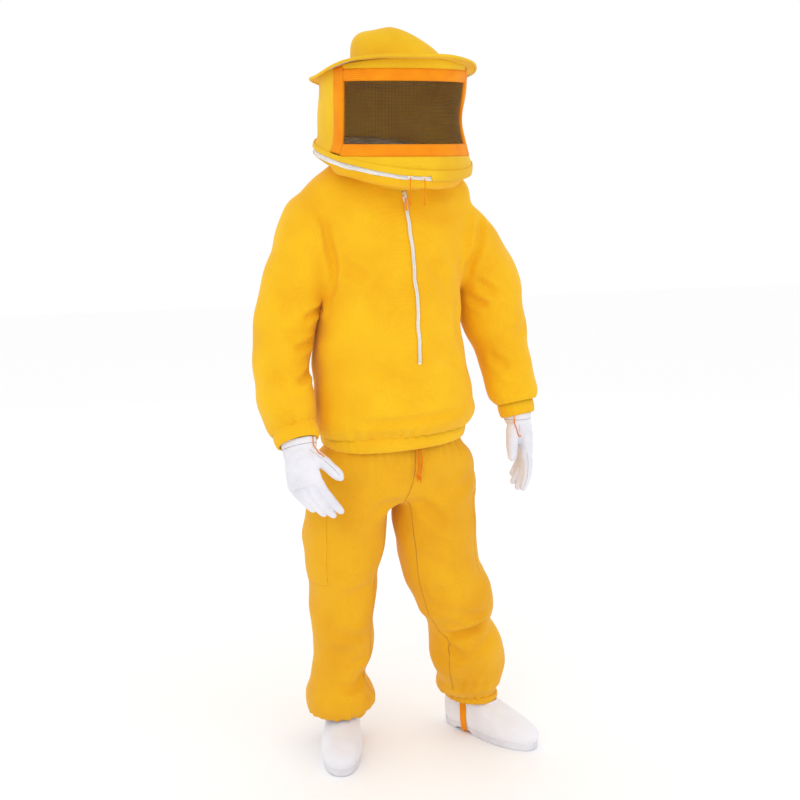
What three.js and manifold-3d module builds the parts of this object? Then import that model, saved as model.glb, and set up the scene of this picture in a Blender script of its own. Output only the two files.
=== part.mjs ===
// A two-piece ventilated beekeeping suit, standing as it is worn: a round hat with a zip-on veil, a half-zip
// jacket, trousers with foot straps, gloves and clogs. Millimetres, +Z up. The wearer faces -Y, and +X is the
// wearer's left. Soft panels are plain closed shells of the fabric's outer shape.
import * as THREE from "three";
import { mergeVertices } from "three/addons/utils/BufferGeometryUtils.js";
import Module from "manifold-3d";

const wasm = await Module();
wasm.setup();

// ---------------------------------------------------------------------------------------------------------
// Driving dimensions
// ---------------------------------------------------------------------------------------------------------
const PLACE = new THREE.Vector3(-10.7, 15.3, 0); // puts the origin under the middle of the whole suit
const FABRIC = 6; // the three-layer spacer fabric's thickness
const GAP = 0.35; // left between pieces that are sewn or pressed together

// Hat and veil
const HOOD_Y = -15;
const RIM_Z = 1546;
const RIM_R = 196;
const RIM_TILT = 11.5; // down towards the front
const RIM_ROLL = 4.6; // down towards the wearer's left
const BRIM_Z = 1738.6;
const BRIM_R = 202.5;
const BRIM_TILT = -9.4;
const CROWN_R = 112;
const CROWN_H = 100;
const WINDOW = { half: 58, binding: 10, low: 1573, high: 1716, strip: 27.5 };

// Zips
const ZIP_TOP = new THREE.Vector3(-0.7, -95.5, 1500);
const ZIP_FOOT = new THREE.Vector3(18, -168, 1050);
const TAPE = 8; // width of one front tape
const ZIP_SPAN = 412; // length of the front zip, up to the collar
const SLIDER_AT = 398; // height of the front slider above the zip's foot when it is closed
const RING_R = 190.5; // middle of the neck zip's tape
const NECK_R = 98; // where the collar joins the jacket
const RING_SLIDER_AT = 5; // degrees from the front

// Limbs
const SHOULDER = { x: 190, y: 5, z: 1385, r: 88 };
const HIP = { x: 118, y: 0, z: 715, r: 110 };
const CLEAR = 4.5; // between a ball-shaped end and the edge that it turns in

// ---------------------------------------------------------------------------------------------------------
// Materials
// ---------------------------------------------------------------------------------------------------------
const finish = (color, roughness, metalness = 0) => new THREE.MeshStandardMaterial({ color, roughness, metalness });
const yellowFabric = finish(0xedb60f, 0.9);
const orangeTape = finish(0xff8c05, 0.75);
const whiteZip = finish(0xf4f2ee, 0.6);
const blackNet = finish(0x141312, 0.8);
const whiteLeather = finish(0xe9e8ee, 0.65);
const whiteMoulded = finish(0xe8e6ea, 0.4);
const soleRubber = finish(0xdcdade, 0.6);
const springSteel = finish(0x9a9a98, 0.35, 1);

// ---------------------------------------------------------------------------------------------------------
// Solids
// ---------------------------------------------------------------------------------------------------------
const radians = THREE.MathUtils.degToRad;

// A closed geometry as a solid, whichever way its faces wind.
function solidOf(geometry) {
  const bare = geometry.clone();
  bare.deleteAttribute("normal");
  bare.deleteAttribute("uv");
  const merged = mergeVertices(bare, 1e-3);
  const vertProperties = merged.attributes.position.array;
  const triVerts = new Uint32Array(merged.index.array);
  const made = new wasm.Manifold(new wasm.Mesh({ numProp: 3, vertProperties, triVerts }));
  if (made.volume() >= 0) return made;
  for (let i = 0; i < triVerts.length; i += 3) triVerts.subarray(i, i + 2).reverse();
  return new wasm.Manifold(new wasm.Mesh({ numProp: 3, vertProperties, triVerts }));
}

// The largest piece of a solid, as a geometry for a mesh.
function geometryOf(solid) {
  const pieces = solid.decompose().sort((a, b) => b.volume() - a.volume());
  const mesh = pieces[0].getMesh();
  const position = new Float32Array(mesh.numVert * 3);
  for (let i = 0; i < mesh.numVert; i++) {
    position.set(mesh.vertProperties.subarray(i * mesh.numProp, i * mesh.numProp + 3), i * 3);
  }
  const geometry = new THREE.BufferGeometry();
  geometry.setAttribute("position", new THREE.BufferAttribute(position, 3));
  geometry.setIndex(new THREE.BufferAttribute(mesh.triVerts, 1));
  geometry.computeVertexNormals();
  return geometry;
}

// A closed skin through rings of points, each ring turning right-handed about the way the loft runs.
function loft(rings) {
  const sides = rings[0].length;
  const points = rings.flat();
  const index = [];
  for (let r = 0; r + 1 < rings.length; r++) {
    for (let i = 0; i < sides; i++) {
      const a = r * sides + i;
      const b = r * sides + ((i + 1) % sides);
      index.push(a, b, b + sides, a, b + sides, a + sides);
    }
  }
  for (const [ring, first, turn] of [[rings[0], 0, false], [rings.at(-1), (rings.length - 1) * sides, true]]) {
    const hub = points.length;
    points.push(ring.reduce((sum, p) => sum.add(p), new THREE.Vector3()).divideScalar(sides));
    for (let i = 0; i < sides; i++) {
      const next = first + ((i + 1) % sides);
      index.push(hub, ...(turn ? [first + i, next] : [next, first + i]));
    }
  }
  const geometry = new THREE.BufferGeometry().setFromPoints(points);
  geometry.setIndex(index);
  return solidOf(geometry);
}

// Smooth steps through rows of numbers, spaced by the first column or by the distance between places.
function smooth(rows, steps, along) {
  const at = rows.map((_, i) => along(rows, i));
  const curve = new THREE.CubicInterpolant(at, rows.flat(), rows[0].length);
  const total = at.at(-1);
  return Array.from({ length: steps + 1 }, (_, k) => Array.from(curve.evaluate(at[0] + ((total - at[0]) * k) / steps)));
}
const byHeight = (rows, i) => rows[i][0];
function byDistance(rows, i) {
  let run = 0;
  for (let k = 1; k <= i; k++) run += Math.hypot(...[0, 1, 2].map((n) => rows[k][n] - rows[k - 1][n]));
  return run;
}

// A rounded-square ring about a centre, in the plane of u and v.
function ringOf(centre, u, v, ru, rv, sides, power = 2) {
  return Array.from({ length: sides }, (_, i) => {
    const angle = (2 * Math.PI * i) / sides;
    const bulge = (t) => Math.sign(t) * Math.abs(t) ** (2 / power);
    return centre.clone().addScaledVector(u, ru * bulge(Math.cos(angle))).addScaledVector(v, rv * bulge(Math.sin(angle)));
  });
}

// Upright forms: rows of [height, half width, front, back], grown by some millimetres, and lengthened past its ends.
function uprightForm(rows, { grow = 0, over = 0, sides = 24, steps = 10, power = 2.3 }) {
  const fine = smooth(rows, steps, byHeight);
  const ends = [[fine[0][0] - over, ...fine[0].slice(1)], [fine.at(-1)[0] + over, ...fine.at(-1).slice(1)]];
  const all = over ? [ends[0], ...fine, ends[1]] : fine;
  return loft(all.map(([z, half, front, back]) => {
    const centre = new THREE.Vector3(0, (front + back) / 2, z);
    const x = new THREE.Vector3(1, 0, 0);
    const y = new THREE.Vector3(0, 1, 0);
    return ringOf(centre, x, y, half + grow, (back - front) / 2 + grow, sides, power);
  }));
}

// Limb forms: rows of [x, y, z, half width, half depth] down a limb, with the depth turned by yaw degrees.
function limbForm(rows, { grow = 0, over = 0, sides = 14, steps = 7, yaw = 0 }) {
  const fine = smooth(rows, steps, byDistance);
  const place = (row) => new THREE.Vector3(...row.slice(0, 3));
  const across = new THREE.Vector3(1, 0, 0).applyAxisAngle(new THREE.Vector3(0, 0, 1), radians(yaw));
  const rings = fine.map((row, k) => {
    const way = place(fine[Math.min(k + 1, fine.length - 1)]).sub(place(fine[Math.max(k - 1, 0)])).normalize();
    return { centre: place(row), way, ru: row[3] + grow, rv: row[4] + grow };
  });
  if (over) {
    const first = rings[0];
    const last = rings.at(-1);
    rings.unshift({ ...first, centre: first.centre.clone().addScaledVector(first.way, -over) });
    rings.push({ ...last, centre: last.centre.clone().addScaledVector(last.way, over) });
  }
  return loft(rings.map(({ centre, way, ru, rv }) => {
    const u = across.clone().addScaledVector(way, -across.dot(way)).normalize();
    return ringOf(centre, u, way.clone().cross(u), ru, rv, sides);
  }));
}

const ball = (x, y, z, r, detail = 14) =>
  solidOf(new THREE.SphereGeometry(r, detail, detail / 2).rotateX(Math.PI / 2).translate(x, y, z));
const block = (x0, x1, y0, y1, z0, z1) =>
  solidOf(new THREE.BoxGeometry(x1 - x0, y1 - y0, z1 - z0).translate((x0 + x1) / 2, (y0 + y1) / 2, (z0 + z1) / 2));
const turned = (profile, sides = 32) =>
  solidOf(new THREE.LatheGeometry([...profile, profile[0]].map(([r, h]) => new THREE.Vector2(r, h)), sides).rotateX(Math.PI / 2));

// A wedge of a tall cylinder, from one angle to another, counted from the front (-Y) towards +X.
function wedge(from, to, z0, z1, centreY = 0) {
  const shape = new THREE.Shape();
  const parts = Math.max(2, Math.ceil((to - from) / 15));
  shape.moveTo(0, 0);
  for (let i = 0; i <= parts; i++) {
    const angle = radians(from + ((to - from) * i) / parts);
    shape.lineTo(400 * Math.sin(angle), -400 * Math.cos(angle));
  }
  const prism = new THREE.ExtrudeGeometry(shape, { depth: z1 - z0, bevelEnabled: false });
  return solidOf(prism.translate(0, centreY, z0));
}

// A round cord along a curve.
function cord(points, radius, steps, sides = 8) {
  const section = new THREE.Shape();
  for (let i = 0; i < sides; i++) {
    const angle = (2 * Math.PI * i) / sides;
    section[i ? "lineTo" : "moveTo"](radius * Math.cos(angle), radius * Math.sin(angle));
  }
  const extrudePath = new THREE.CatmullRomCurve3(points.map((p) => new THREE.Vector3(...p)));
  return solidOf(new THREE.ExtrudeGeometry(section, { steps, extrudePath, bevelEnabled: false }));
}

// ---------------------------------------------------------------------------------------------------------
// Frames that several pieces share
// ---------------------------------------------------------------------------------------------------------
const suit = new THREE.Group();
suit.position.copy(PLACE);

function frameAt(x, y, z, tilt = 0, yaw = 0, roll = 0, parent = suit) {
  const frame = new THREE.Group();
  frame.position.set(x, y, z);
  frame.rotation.set(radians(tilt), radians(roll), radians(yaw));
  parent.add(frame);
  frame.updateMatrix();
  return frame;
}
const ringFrame = frameAt(0, HOOD_Y, RIM_Z, RIM_TILT, 0, RIM_ROLL);
const brimFrame = frameAt(0, HOOD_Y, BRIM_Z, BRIM_TILT);

const zipWay = ZIP_TOP.clone().sub(ZIP_FOOT);
zipWay.normalize();
const zipFrame = new THREE.Group();
const zipInward = new THREE.Vector3(0, 1, 0).addScaledVector(zipWay, -zipWay.y).normalize();
zipFrame.quaternion.setFromRotationMatrix(
  new THREE.Matrix4().makeBasis(zipInward.clone().cross(zipWay), zipInward, zipWay));
zipFrame.position.copy(ZIP_FOOT);
suit.add(zipFrame);
zipFrame.updateMatrix();

// A solid made in a frame, carried into the suit's own frame for cutting with.
function carried(solid, frame) {
  return solidOf(geometryOf(solid).applyMatrix4(frame.matrix));
}

function piece(name, solid, material, frame = suit) {
  const mesh = new THREE.Mesh(geometryOf(solid), material);
  mesh.name = name;
  frame.add(mesh);
  return mesh;
}

// ---------------------------------------------------------------------------------------------------------
// Hat
// ---------------------------------------------------------------------------------------------------------
function makeHat() {
  const dome = (r, h) => Array.from({ length: 7 }, (_, i) => {
    const angle = (Math.PI / 2) * (i / 6);
    return [r * Math.cos(angle) ** 0.62, h * Math.sin(angle)];
  });
  const outer = [[0, 0], ...dome(CROWN_R, CROWN_H)];
  const inner = [[0, -5], [CROWN_R - 4, -5], ...dome(CROWN_R - 4, CROWN_H - 4)];
  const crown = turned(outer, 28).subtract(turned(inner, 28));
  piece("hat_crown", carried(crown.translate([0, 0, 6]), brimFrame), yellowFabric);
  piece("hat_sweatband", carried(turned([[99.5, 8], [102, 8], [102, 36], [99.5, 36]], 28), brimFrame), yellowFabric);
  const brim = [[100, 0.3], [BRIM_R - 6.5, 0.3], [BRIM_R - 6.5, 3.3], [100, 5.6]];
  piece("hat_brim", turned(brim), yellowFabric, brimFrame);
  const edge = [[BRIM_R - 6.1, -1], [BRIM_R, 0], [BRIM_R, 4], [BRIM_R - 6.1, 5], [BRIM_R - 6.1, 3.8],
    [BRIM_R - 2, 3.8], [BRIM_R - 2, 0.2], [BRIM_R - 6.1, 0.2]];
  piece("brim_edge_binding", turned(edge), yellowFabric, brimFrame);
  const wire = Array.from({ length: 5 }, (_, i) => {
    const angle = (2 * Math.PI * i) / 5;
    return [BRIM_R - 3.9 + 1.25 * Math.cos(angle), 2 + 1.25 * Math.sin(angle)];
  });
  piece("brim_hoop", turned(wire), springSteel, brimFrame);
}

// ---------------------------------------------------------------------------------------------------------
// Veil
// ---------------------------------------------------------------------------------------------------------
// Rows of [height, radius, tilt, roll] from the rim up to the brim.
const VEIL = [[RIM_Z, RIM_R, RIM_TILT, RIM_ROLL], [1580, 181, 5, 2], [1650, 176, 0, 0], [1706, 176, -6, 0],
  [BRIM_Z - 0.6, 178, BRIM_TILT, 0]];

function veilForm(grow, over = 0) {
  const fine = smooth(VEIL, 6, byHeight);
  const rings = fine.map(([z, r, ...turns]) => [z, r + grow, ...turns]);
  if (over) {
    rings.unshift([rings[0][0] - over, ...rings[0].slice(1)]);
    rings.push([rings.at(-1)[0] + over, ...rings.at(-1).slice(1)]);
  }
  return loft(rings.map(([z, r, tilt, roll]) => {
    const turn = new THREE.Euler(radians(tilt), radians(roll), 0);
    const u = new THREE.Vector3(1, 0, 0).applyEuler(turn);
    return ringOf(new THREE.Vector3(0, HOOD_Y, z), u, new THREE.Vector3(0, 1, 0).applyEuler(turn), r, r, 32);
  }));
}

function makeVeil() {
  const wall = 5;
  const fabric = veilForm(0).subtract(veilForm(-wall, 5));
  const taped = veilForm(0.9).subtract(veilForm(-wall - 0.9, 5)).intersect(block(-300, 300, -300, 300, 1530, 1760));
  const net = veilForm(-1.5).subtract(veilForm(-3, 5));
  const edge = WINDOW.half + WINDOW.binding;
  const cut = (from, to, low, high) => wedge(from, to, low, high, HOOD_Y);
  const bindLow = WINDOW.low - WINDOW.strip;
  const bindHigh = WINDOW.high + WINDOW.strip;
  piece("veil_back_panel", fabric.subtract(cut(-edge, edge, 1400, 1800)), yellowFabric);
  const front = edge - 0.15;
  piece("veil_lower_band", fabric.intersect(cut(-front, front, 1400, bindLow - GAP)), yellowFabric);
  piece("veil_upper_band", fabric.intersect(cut(-front, front, bindHigh + GAP, 1800)), yellowFabric);
  for (const [side, sign] of [["left", 1], ["right", -1]]) {
    const [from, to] = [sign * (WINDOW.half + 0.12), sign * (edge - 0.15)].sort((a, b) => a - b);
    piece(`window_binding_${side}`, taped.intersect(cut(from, to, bindLow, bindHigh)), orangeTape);
  }
  piece("window_binding_top", taped.intersect(cut(-WINDOW.half, WINDOW.half, WINDOW.high, bindHigh)), orangeTape);
  piece("window_binding_bottom", taped.intersect(cut(-WINDOW.half, WINDOW.half, bindLow, WINDOW.low)), orangeTape);
  piece("window_mesh",
    net.intersect(cut(-WINDOW.half, WINDOW.half, WINDOW.low + GAP, WINDOW.high - GAP)), blackNet);
  const hoop = Array.from({ length: 5 }, (_, i) => {
    const angle = (2 * Math.PI * i) / 5;
    return [RIM_R - 10 + 1.5 * Math.cos(angle), 4 + 1.5 * Math.sin(angle)];
  });
  piece("veil_lower_hoop", turned(hoop), springSteel, ringFrame);
}

// ---------------------------------------------------------------------------------------------------------
// Neck zip: the hood's tape above, the collar's below, and two sliders that meet at the front
// ---------------------------------------------------------------------------------------------------------
function makeNeckZip() {
  const band = (low, high) => turned([[RING_R - 1, low], [RING_R + 1, low], [RING_R + 1, high], [RING_R - 1, high]]);
  piece("hood_zip_tape", band(-11.2, -0.6), whiteZip, ringFrame);
  piece("collar_zip_tape", band(-22, -11.6), whiteZip, ringFrame);
  piece("collar", turned([[NECK_R, -62], [RING_R, -28], [RING_R, -22.5], [NECK_R, -55]]), yellowFabric, ringFrame);
  for (const [side, sign] of [["left", 1], ["right", -1]]) {
    const seat = frameAt(0, 0, 0, 0, sign * RING_SLIDER_AT, 0, ringFrame);
    const at = -(RING_R + 1.5);
    piece(`hood_zip_slider_${side}`, block(-5, 5, at - 5.5, at, -19, -4), whiteZip, seat);
    const hung = frameAt(0, at - 6.8, -15, -RIM_TILT, 0, 0, seat);
    piece(`hood_zip_pull_${side}`, block(-2.5, 2.5, -0.8, 0.8, -40, 1.5), orangeTape, hung);
  }
}

// ---------------------------------------------------------------------------------------------------------
// Arms
// ---------------------------------------------------------------------------------------------------------
// Rows of [x, y, z, half width, half depth] from the shoulder down; x is outward from the wearer's middle.
const ARM = {
  left: [[190, 5, 1385, 84, 84], [256, 0, 1272, 77, 77], [285, 0, 1160, 72, 73], [303, -6, 1070, 67, 68],
    [311, -30, 985, 65, 65], [320, -51, 915, 48, 50]],
  right: [[190, 5, 1385, 84, 84], [233, 0, 1290, 77, 77], [268, 4, 1170, 72, 73], [283, 0, 1070, 69, 70],
    [284, -36, 975, 68, 68], [271, -91, 888, 58, 58]],
};
const CUFF_LENGTH = 34;
const mirrored = (rows, sign) => rows.map(([x, ...rest]) => [sign * x, ...rest]);
const LIMB_STEPS = 7;
function wayOf(rows, steps = LIMB_STEPS) {
  const fine = smooth(rows, steps, byDistance);
  return new THREE.Vector3(...[0, 1, 2].map((n) => fine.at(-1)[n] - fine.at(-2)[n])).normalize();
}
const endOf = (rows) => new THREE.Vector3(...rows.at(-1).slice(0, 3));

function sleeveForm(side, sign, grow, over = 0) {
  const { x, y, z, r } = SHOULDER;
  return limbForm(mirrored(ARM[side], sign), { grow, over }).add(ball(sign * x, y, z, r + grow));
}

// A cuff is a short soft ring that carries on the limb, a little narrower than the limb's end.
function bandAt(from, way, length, ru, rv, wall, yaw = 0, sides = 14) {
  const to = from.clone().addScaledVector(way, length);
  const rows = [[...from.toArray(), ru, rv], [...to.toArray(), ru * 0.96, rv * 0.96]];
  return limbForm(rows, { steps: 2, sides, yaw }).subtract(limbForm(rows, { grow: -wall, over: 3, steps: 2, sides, yaw }));
}

function makeSleeve(side, sign) {
  const { x, y, z, r } = SHOULDER;
  const shell = sleeveForm(side, sign, 0).subtract(sleeveForm(side, sign, -FABRIC, 8));
  const open = sign > 0 ? block(0, x - 30, y - 200, y + 200, z - 60, z + 200) : block(-x + 30, 0, y - 200, y + 200, z - 60, z + 200);
  piece(`sleeve_${side}`, shell.subtract(open).subtract(ball(sign * x, y, z, r - FABRIC)), yellowFabric);
  const rows = mirrored(ARM[side], sign);
  const way = wayOf(rows);
  const [, , , ru, rv] = rows.at(-1);
  const cuff = bandAt(endOf(rows).addScaledVector(way, GAP), way, CUFF_LENGTH, ru - 3, rv - 3, FABRIC);
  piece(`cuff_${side}`, cuff, yellowFabric);
}

// ---------------------------------------------------------------------------------------------------------
// Gloves: fingers down -Z, thumb towards -Y, palm towards the wearer
// ---------------------------------------------------------------------------------------------------------
const HAND = {
  left: { down: [0.02, -0.12, -0.99], thumb: [-0.3, -0.95, 0], bend: 0 },
  right: { down: [0.1, -0.4, -0.91], thumb: [0.75, -0.62, 0], bend: 40 },
};
const FINGERS = [[-33, 88, 12], [-11, 96, 12.4], [12, 90, 12], [33, 72, 11]]; // [across, length, radius]

function capsule(from, to, radius) {
  const way = to.clone().sub(from);
  const shape = new THREE.CapsuleGeometry(radius, way.length(), 2, 7);
  shape.applyQuaternion(new THREE.Quaternion().setFromUnitVectors(new THREE.Vector3(0, 1, 0), way.clone().normalize()));
  return solidOf(shape.translate(...from.clone().add(to).divideScalar(2).toArray()));
}

function handForm(sign, grow, wristTop) {
  const palm = [[0, 0, wristTop, 31, 36], [0, 0, -14, 29, 37], [sign * 14, 0, -60, 22, 43], [sign * 16, 0, -106, 16, 45]];
  let hand = limbForm(palm, { grow, sides: 10, steps: 4 });
  const { bend } = HAND[sign > 0 ? "left" : "right"];
  for (const [across, length, radius] of FINGERS) {
    const root = new THREE.Vector3(sign * 16, across, -98);
    const tip = new THREE.Vector3(-sign * 8, across * 0.8 - bend, -98 - Math.sqrt(length ** 2 - bend ** 2 - 24 ** 2));
    hand = hand.add(capsule(root, tip, radius + grow));
  }
  const [thumbRoot, thumbTip] = bend ? [[6, -30, -36], [-8, -92, -92]] : [[-14, -26, -34], [-22, -40, -108]];
  const at = ([x, y, z]) => new THREE.Vector3(sign * x, y, z);
  return hand.add(capsule(at(thumbRoot), at(thumbTip), 15 + grow));
}

function makeGlove(side, sign) {
  const rows = mirrored(ARM[side], sign);
  const way = wayOf(rows);
  const frame = new THREE.Group();
  frame.position.copy(endOf(rows).addScaledVector(way, CUFF_LENGTH - 6));
  const up = new THREE.Vector3(...HAND[side].down).negate().normalize();
  const across = new THREE.Vector3(...HAND[side].thumb).negate();
  const back = across.clone().cross(up).normalize();
  frame.quaternion.setFromRotationMatrix(new THREE.Matrix4().makeBasis(back, up.clone().cross(back), up));
  suit.add(frame);
  const glove = handForm(sign, 0, 9).subtract(handForm(sign, -2.2, 19));
  piece(`glove_${side}`, glove, whiteLeather, frame);
  const loop = [[-12, -34, -7], [-13, -45, -20], [-4, -54, -38], [4, -54, -52]].map(([x, y, z]) => [sign * x, y, z]);
  piece(`thumb_loop_${side}`, cord(loop, 1.4, 10, 6).subtract(handForm(sign, 0.4, 19)), orangeTape, frame);
}

// ---------------------------------------------------------------------------------------------------------
// Jacket
// ---------------------------------------------------------------------------------------------------------
// Rows of [height, half width, front, back]. The front is straight along the zip, so that its slider can run.
const frontAt = (z) => ZIP_FOOT.y + ((z - ZIP_FOOT.z) * (ZIP_TOP.y - ZIP_FOOT.y)) / (ZIP_TOP.z - ZIP_FOOT.z);
const TORSO = [[862, 186, -151, 131], [882, 206, -170, 147], [930, 214, -182, 151], [1050, 197, frontAt(1050), 133],
  [1170, 185, frontAt(1170), 134], [1290, 181, frontAt(1290), 136], [1390, 197, frontAt(1390), 128],
  [1450, 192, frontAt(1450), 110], [1485, 166, frontAt(1485), 97], [1512, 138, -94, 90], [1560, 100, -88, 78]];
const HEM_BAND = { low: 822, half: 181, front: -146, back: 127 };

function makeJacket() {
  const form = (grow, over) => uprightForm(TORSO, { grow, over, sides: 24, steps: 9, power: 2.35 });
  let shell = form(0, 0).subtract(form(-FABRIC, 6));
  const above = turned([[0, -62.5], [NECK_R, -62.5], [RING_R, -28.5], [400, -28.5], [400, 300], [0, 300]]);
  shell = shell.subtract(carried(above, ringFrame));
  for (const [side, sign] of [["left", 1], ["right", -1]]) {
    const { x, y, z, r } = SHOULDER;
    shell = shell.subtract(sleeveForm(side, sign, CLEAR)).subtract(ball(sign * x, y, z, r + CLEAR));
  }
  shell = shell.subtract(carried(block(-TAPE - 0.4, TAPE + 0.4, -40, 40, -3, 600), zipFrame));
  const side = shell.intersect(block(-400, 400, 0.2, 400, 700, 1700));
  piece("jacket_back", side, yellowFabric);
  const front = shell.intersect(block(-400, 400, -400, -0.2, 700, 1700));
  piece("jacket_front_left", front.intersect(carried(block(0.2, 400, -400, 400, -400, 600), zipFrame)), yellowFabric);
  piece("jacket_front_right", front.intersect(carried(block(-400, -0.2, -400, 400, -400, 600), zipFrame)), yellowFabric);
  const { low, half, front: y0, back: y1 } = HEM_BAND;
  const band = [[low, half, y0, y1], [TORSO[0][0] - GAP, half, y0, y1]];
  piece("jacket_hem_band", uprightForm(band, { steps: 1, sides: 28 })
    .subtract(uprightForm(band, { steps: 1, sides: 28, grow: -FABRIC, over: 3 })), yellowFabric);
}

function makeFrontZip() {
  piece("front_zip_tape_left", block(0.2, TAPE, 2, 4, 0, ZIP_SPAN), whiteZip, zipFrame);
  piece("front_zip_tape_right", block(-TAPE, -0.2, 2, 4, 0, ZIP_SPAN), whiteZip, zipFrame);
  piece("front_zip_stop", block(-4, 4, -0.6, 1.6, 2, 7), whiteZip, zipFrame);
  piece("front_zip_slider", block(-4.5, 4.5, -4.5, 1.6, SLIDER_AT - 7, SLIDER_AT + 7), whiteZip, zipFrame);
  piece("front_zip_pull", block(-3.5, 3.5, -6.5, -5, SLIDER_AT - 28, SLIDER_AT + 4), orangeTape, zipFrame);
}

// ---------------------------------------------------------------------------------------------------------
// Trousers
// ---------------------------------------------------------------------------------------------------------
const LEG = {
  left: [[118, 0, 715, 108, 108], [116, -6, 620, 108, 108], [118, -16, 554, 108, 105], [133, -26, 470, 97, 100],
    [168, -32, 389, 96, 97], [179, -28, 322, 81, 84], [202, -15, 262, 95, 94], [226, 0, 185, 87, 90],
    [219, 12, 130, 68, 74]],
  right: [[118, 0, 715, 108, 108], [127, 0, 620, 104, 106], [133, 5, 515, 97, 100], [130, 12, 410, 86, 90],
    [130, 30, 275, 76, 84], [134, 42, 210, 69, 86], [131, 44, 158, 88, 102], [127, 46, 129, 74, 98]],
};
const LEG_STEPS = 9;
const ANKLE_BAND = 16;
const FOOT = { left: { x: 228, y: 18, yaw: 33 }, right: { x: -119, y: 52, yaw: -19 } };
const CUT_HALF = 30; // half the width of the crotch strip, which doesn't move with either leg
const SEAT = [[774, 229, -126, 126], [796, 214, -128, 124], [816, 174, -124, 114], [870, 166, -120, 106]];
const POCKET = { low: 480, high: 690, from: 40, to: 118 }; // heights, and degrees from the front round the outside

// A bar across the hips about the line that both legs swing on.
function hipBar(radius, half, sides = 28) {
  return solidOf(new THREE.CylinderGeometry(radius, radius, 2 * half, sides).rotateZ(Math.PI / 2).translate(0, HIP.y, HIP.z));
}

function legForm(side, sign, grow, over = 0) {
  return limbForm(mirrored(LEG[side], sign), { grow, over, steps: LEG_STEPS, sides: 14, yaw: FOOT[side].yaw })
    .add(ball(sign * HIP.x, HIP.y, HIP.z, HIP.r + grow));
}

function makeLeg(side, sign) {
  const shell = legForm(side, sign, 0).subtract(legForm(side, sign, -FABRIC, 8))
    .subtract(block(-400, 400, -400, 400, HIP.z + 80, 1000))
    .subtract(hipBar(HIP.r + 9, CUT_HALF + 2));
  piece(`trouser_leg_${side}`, shell, yellowFabric);
  const rows = mirrored(LEG[side], sign);
  const way = wayOf(rows, LEG_STEPS);
  const [, , , ru, rv] = rows.at(-1);
  const cuff = bandAt(endOf(rows).addScaledVector(way, GAP), way, ANKLE_BAND, ru - 3, rv - 3, FABRIC, FOOT[side].yaw);
  piece(`ankle_cuff_${side}`, cuff, yellowFabric);
  const [x, y] = [sign * 128, 2];
  const [from, to] = sign > 0 ? [POCKET.from, POCKET.to] : [-POCKET.to, -POCKET.from];
  const patch = wedge(from, to, POCKET.low, POCKET.high).translate([x, y, 0]);
  piece(`pocket_${side}`, legForm(side, sign, 3.6).subtract(legForm(side, sign, 0.4)).intersect(patch), yellowFabric);
}

function makeSeat() {
  const waist = uprightForm(SEAT, { sides: 28, steps: 4 })
    .subtract(uprightForm(SEAT, { grow: -FABRIC, over: 3, sides: 28, steps: 4 }))
    .subtract(ball(HIP.x, HIP.y, HIP.z, HIP.r + CLEAR)).subtract(ball(-HIP.x, HIP.y, HIP.z, HIP.r + CLEAR));
  const strip = hipBar(HIP.r + 7, CUT_HALF, 32).subtract(hipBar(HIP.r + 2, 100, 32))
    .subtract(block(-400, 400, -400, 400, 800, 1000));
  const yoke = block(-CUT_HALF, CUT_HALF, -124, -97, 774, 782).add(block(-CUT_HALF, CUT_HALF, 97, 124, 774, 782));
  piece("trouser_seat", waist.add(strip).add(yoke), yellowFabric);
  const elastic = [[842, 152, -105, 89], [866, 152, -105, 89]];
  piece("waist_elastic", uprightForm(elastic, { steps: 1, sides: 28 })
    .subtract(uprightForm(elastic, { steps: 1, sides: 28, grow: -2, over: 3 })), whiteZip);
}

// Points of the two ends of the waist drawstring, as they hang down the front.
const DRAWSTRING = {
  left: [[33, -127, 846], [34, -132, 840], [35, -135, 822], [34, -136, 800], [32, -136, 775], [31, -135, 752]],
  right: [[24, -127, 846], [24, -132, 840], [25, -135, 822], [27, -136, 800], [25.5, -136, 775], [25, -135, 756]],
};

// ---------------------------------------------------------------------------------------------------------
// Clogs: toe towards -Y, ankle over the frame's origin
// ---------------------------------------------------------------------------------------------------------
// Rows of [height, half width, front, back].
const CLOG = [[22, 52, -219, 72], [40, 55, -224, 76], [56, 53, -209, 77], [70, 49, -170, 76], [84, 45, -118, 74],
  [98, 41, -88, 70]];
const ARCH = { front: -34, back: 14, height: 9 }; // the hollow under the instep that the foot strap runs through

function makeClog(side) {
  const { x, y, yaw } = FOOT[side];
  const foot = frameAt(x, y, 0, 0, yaw);
  const upper = uprightForm(CLOG, { sides: 18, steps: 5 });
  const inside = [[24.5, ...CLOG[0].slice(1)], ...CLOG.slice(1)];
  piece(`clog_upper_${side}`, upper.subtract(uprightForm(inside, { sides: 18, steps: 5, grow: -3.2 })
    .add(uprightForm([[88, 37.8, -84, 66.8], [120, 37.8, -84, 66.8]], { sides: 18, steps: 1 }))), whiteMoulded, foot);
  const sole = uprightForm([[0, 48, -215, 68], [8, 52, -220, 73], [21.6, 53, -221, 74]], { sides: 24, steps: 2 })
    .subtract(block(-100, 100, ARCH.front, ARCH.back, -1, ARCH.height));
  piece(`outsole_${side}`, sole, soleRubber, foot);
  const insole = uprightForm([[25, 45, -210, 65], [28, 45, -210, 65]], { sides: 20, steps: 1 });
  piece(`insole_${side}`, insole, soleRubber, foot);
  const wrap = (grow) => uprightForm([[5 - grow, 54 + grow, -24, 4], [60, 56.5 + grow, -24, 4],
    [108, 46.5 + grow, -24, 4]], { sides: 16, steps: 6, power: 10 });
  const strap = wrap(1.6).subtract(wrap(0).add(block(-46.5, 46.5, -60, 60, 90, 140)))
    .intersect(block(-100, 100, -22, 2, 0, 104));
  piece(`foot_strap_${side}`, strap, orangeTape, foot);
}

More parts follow.
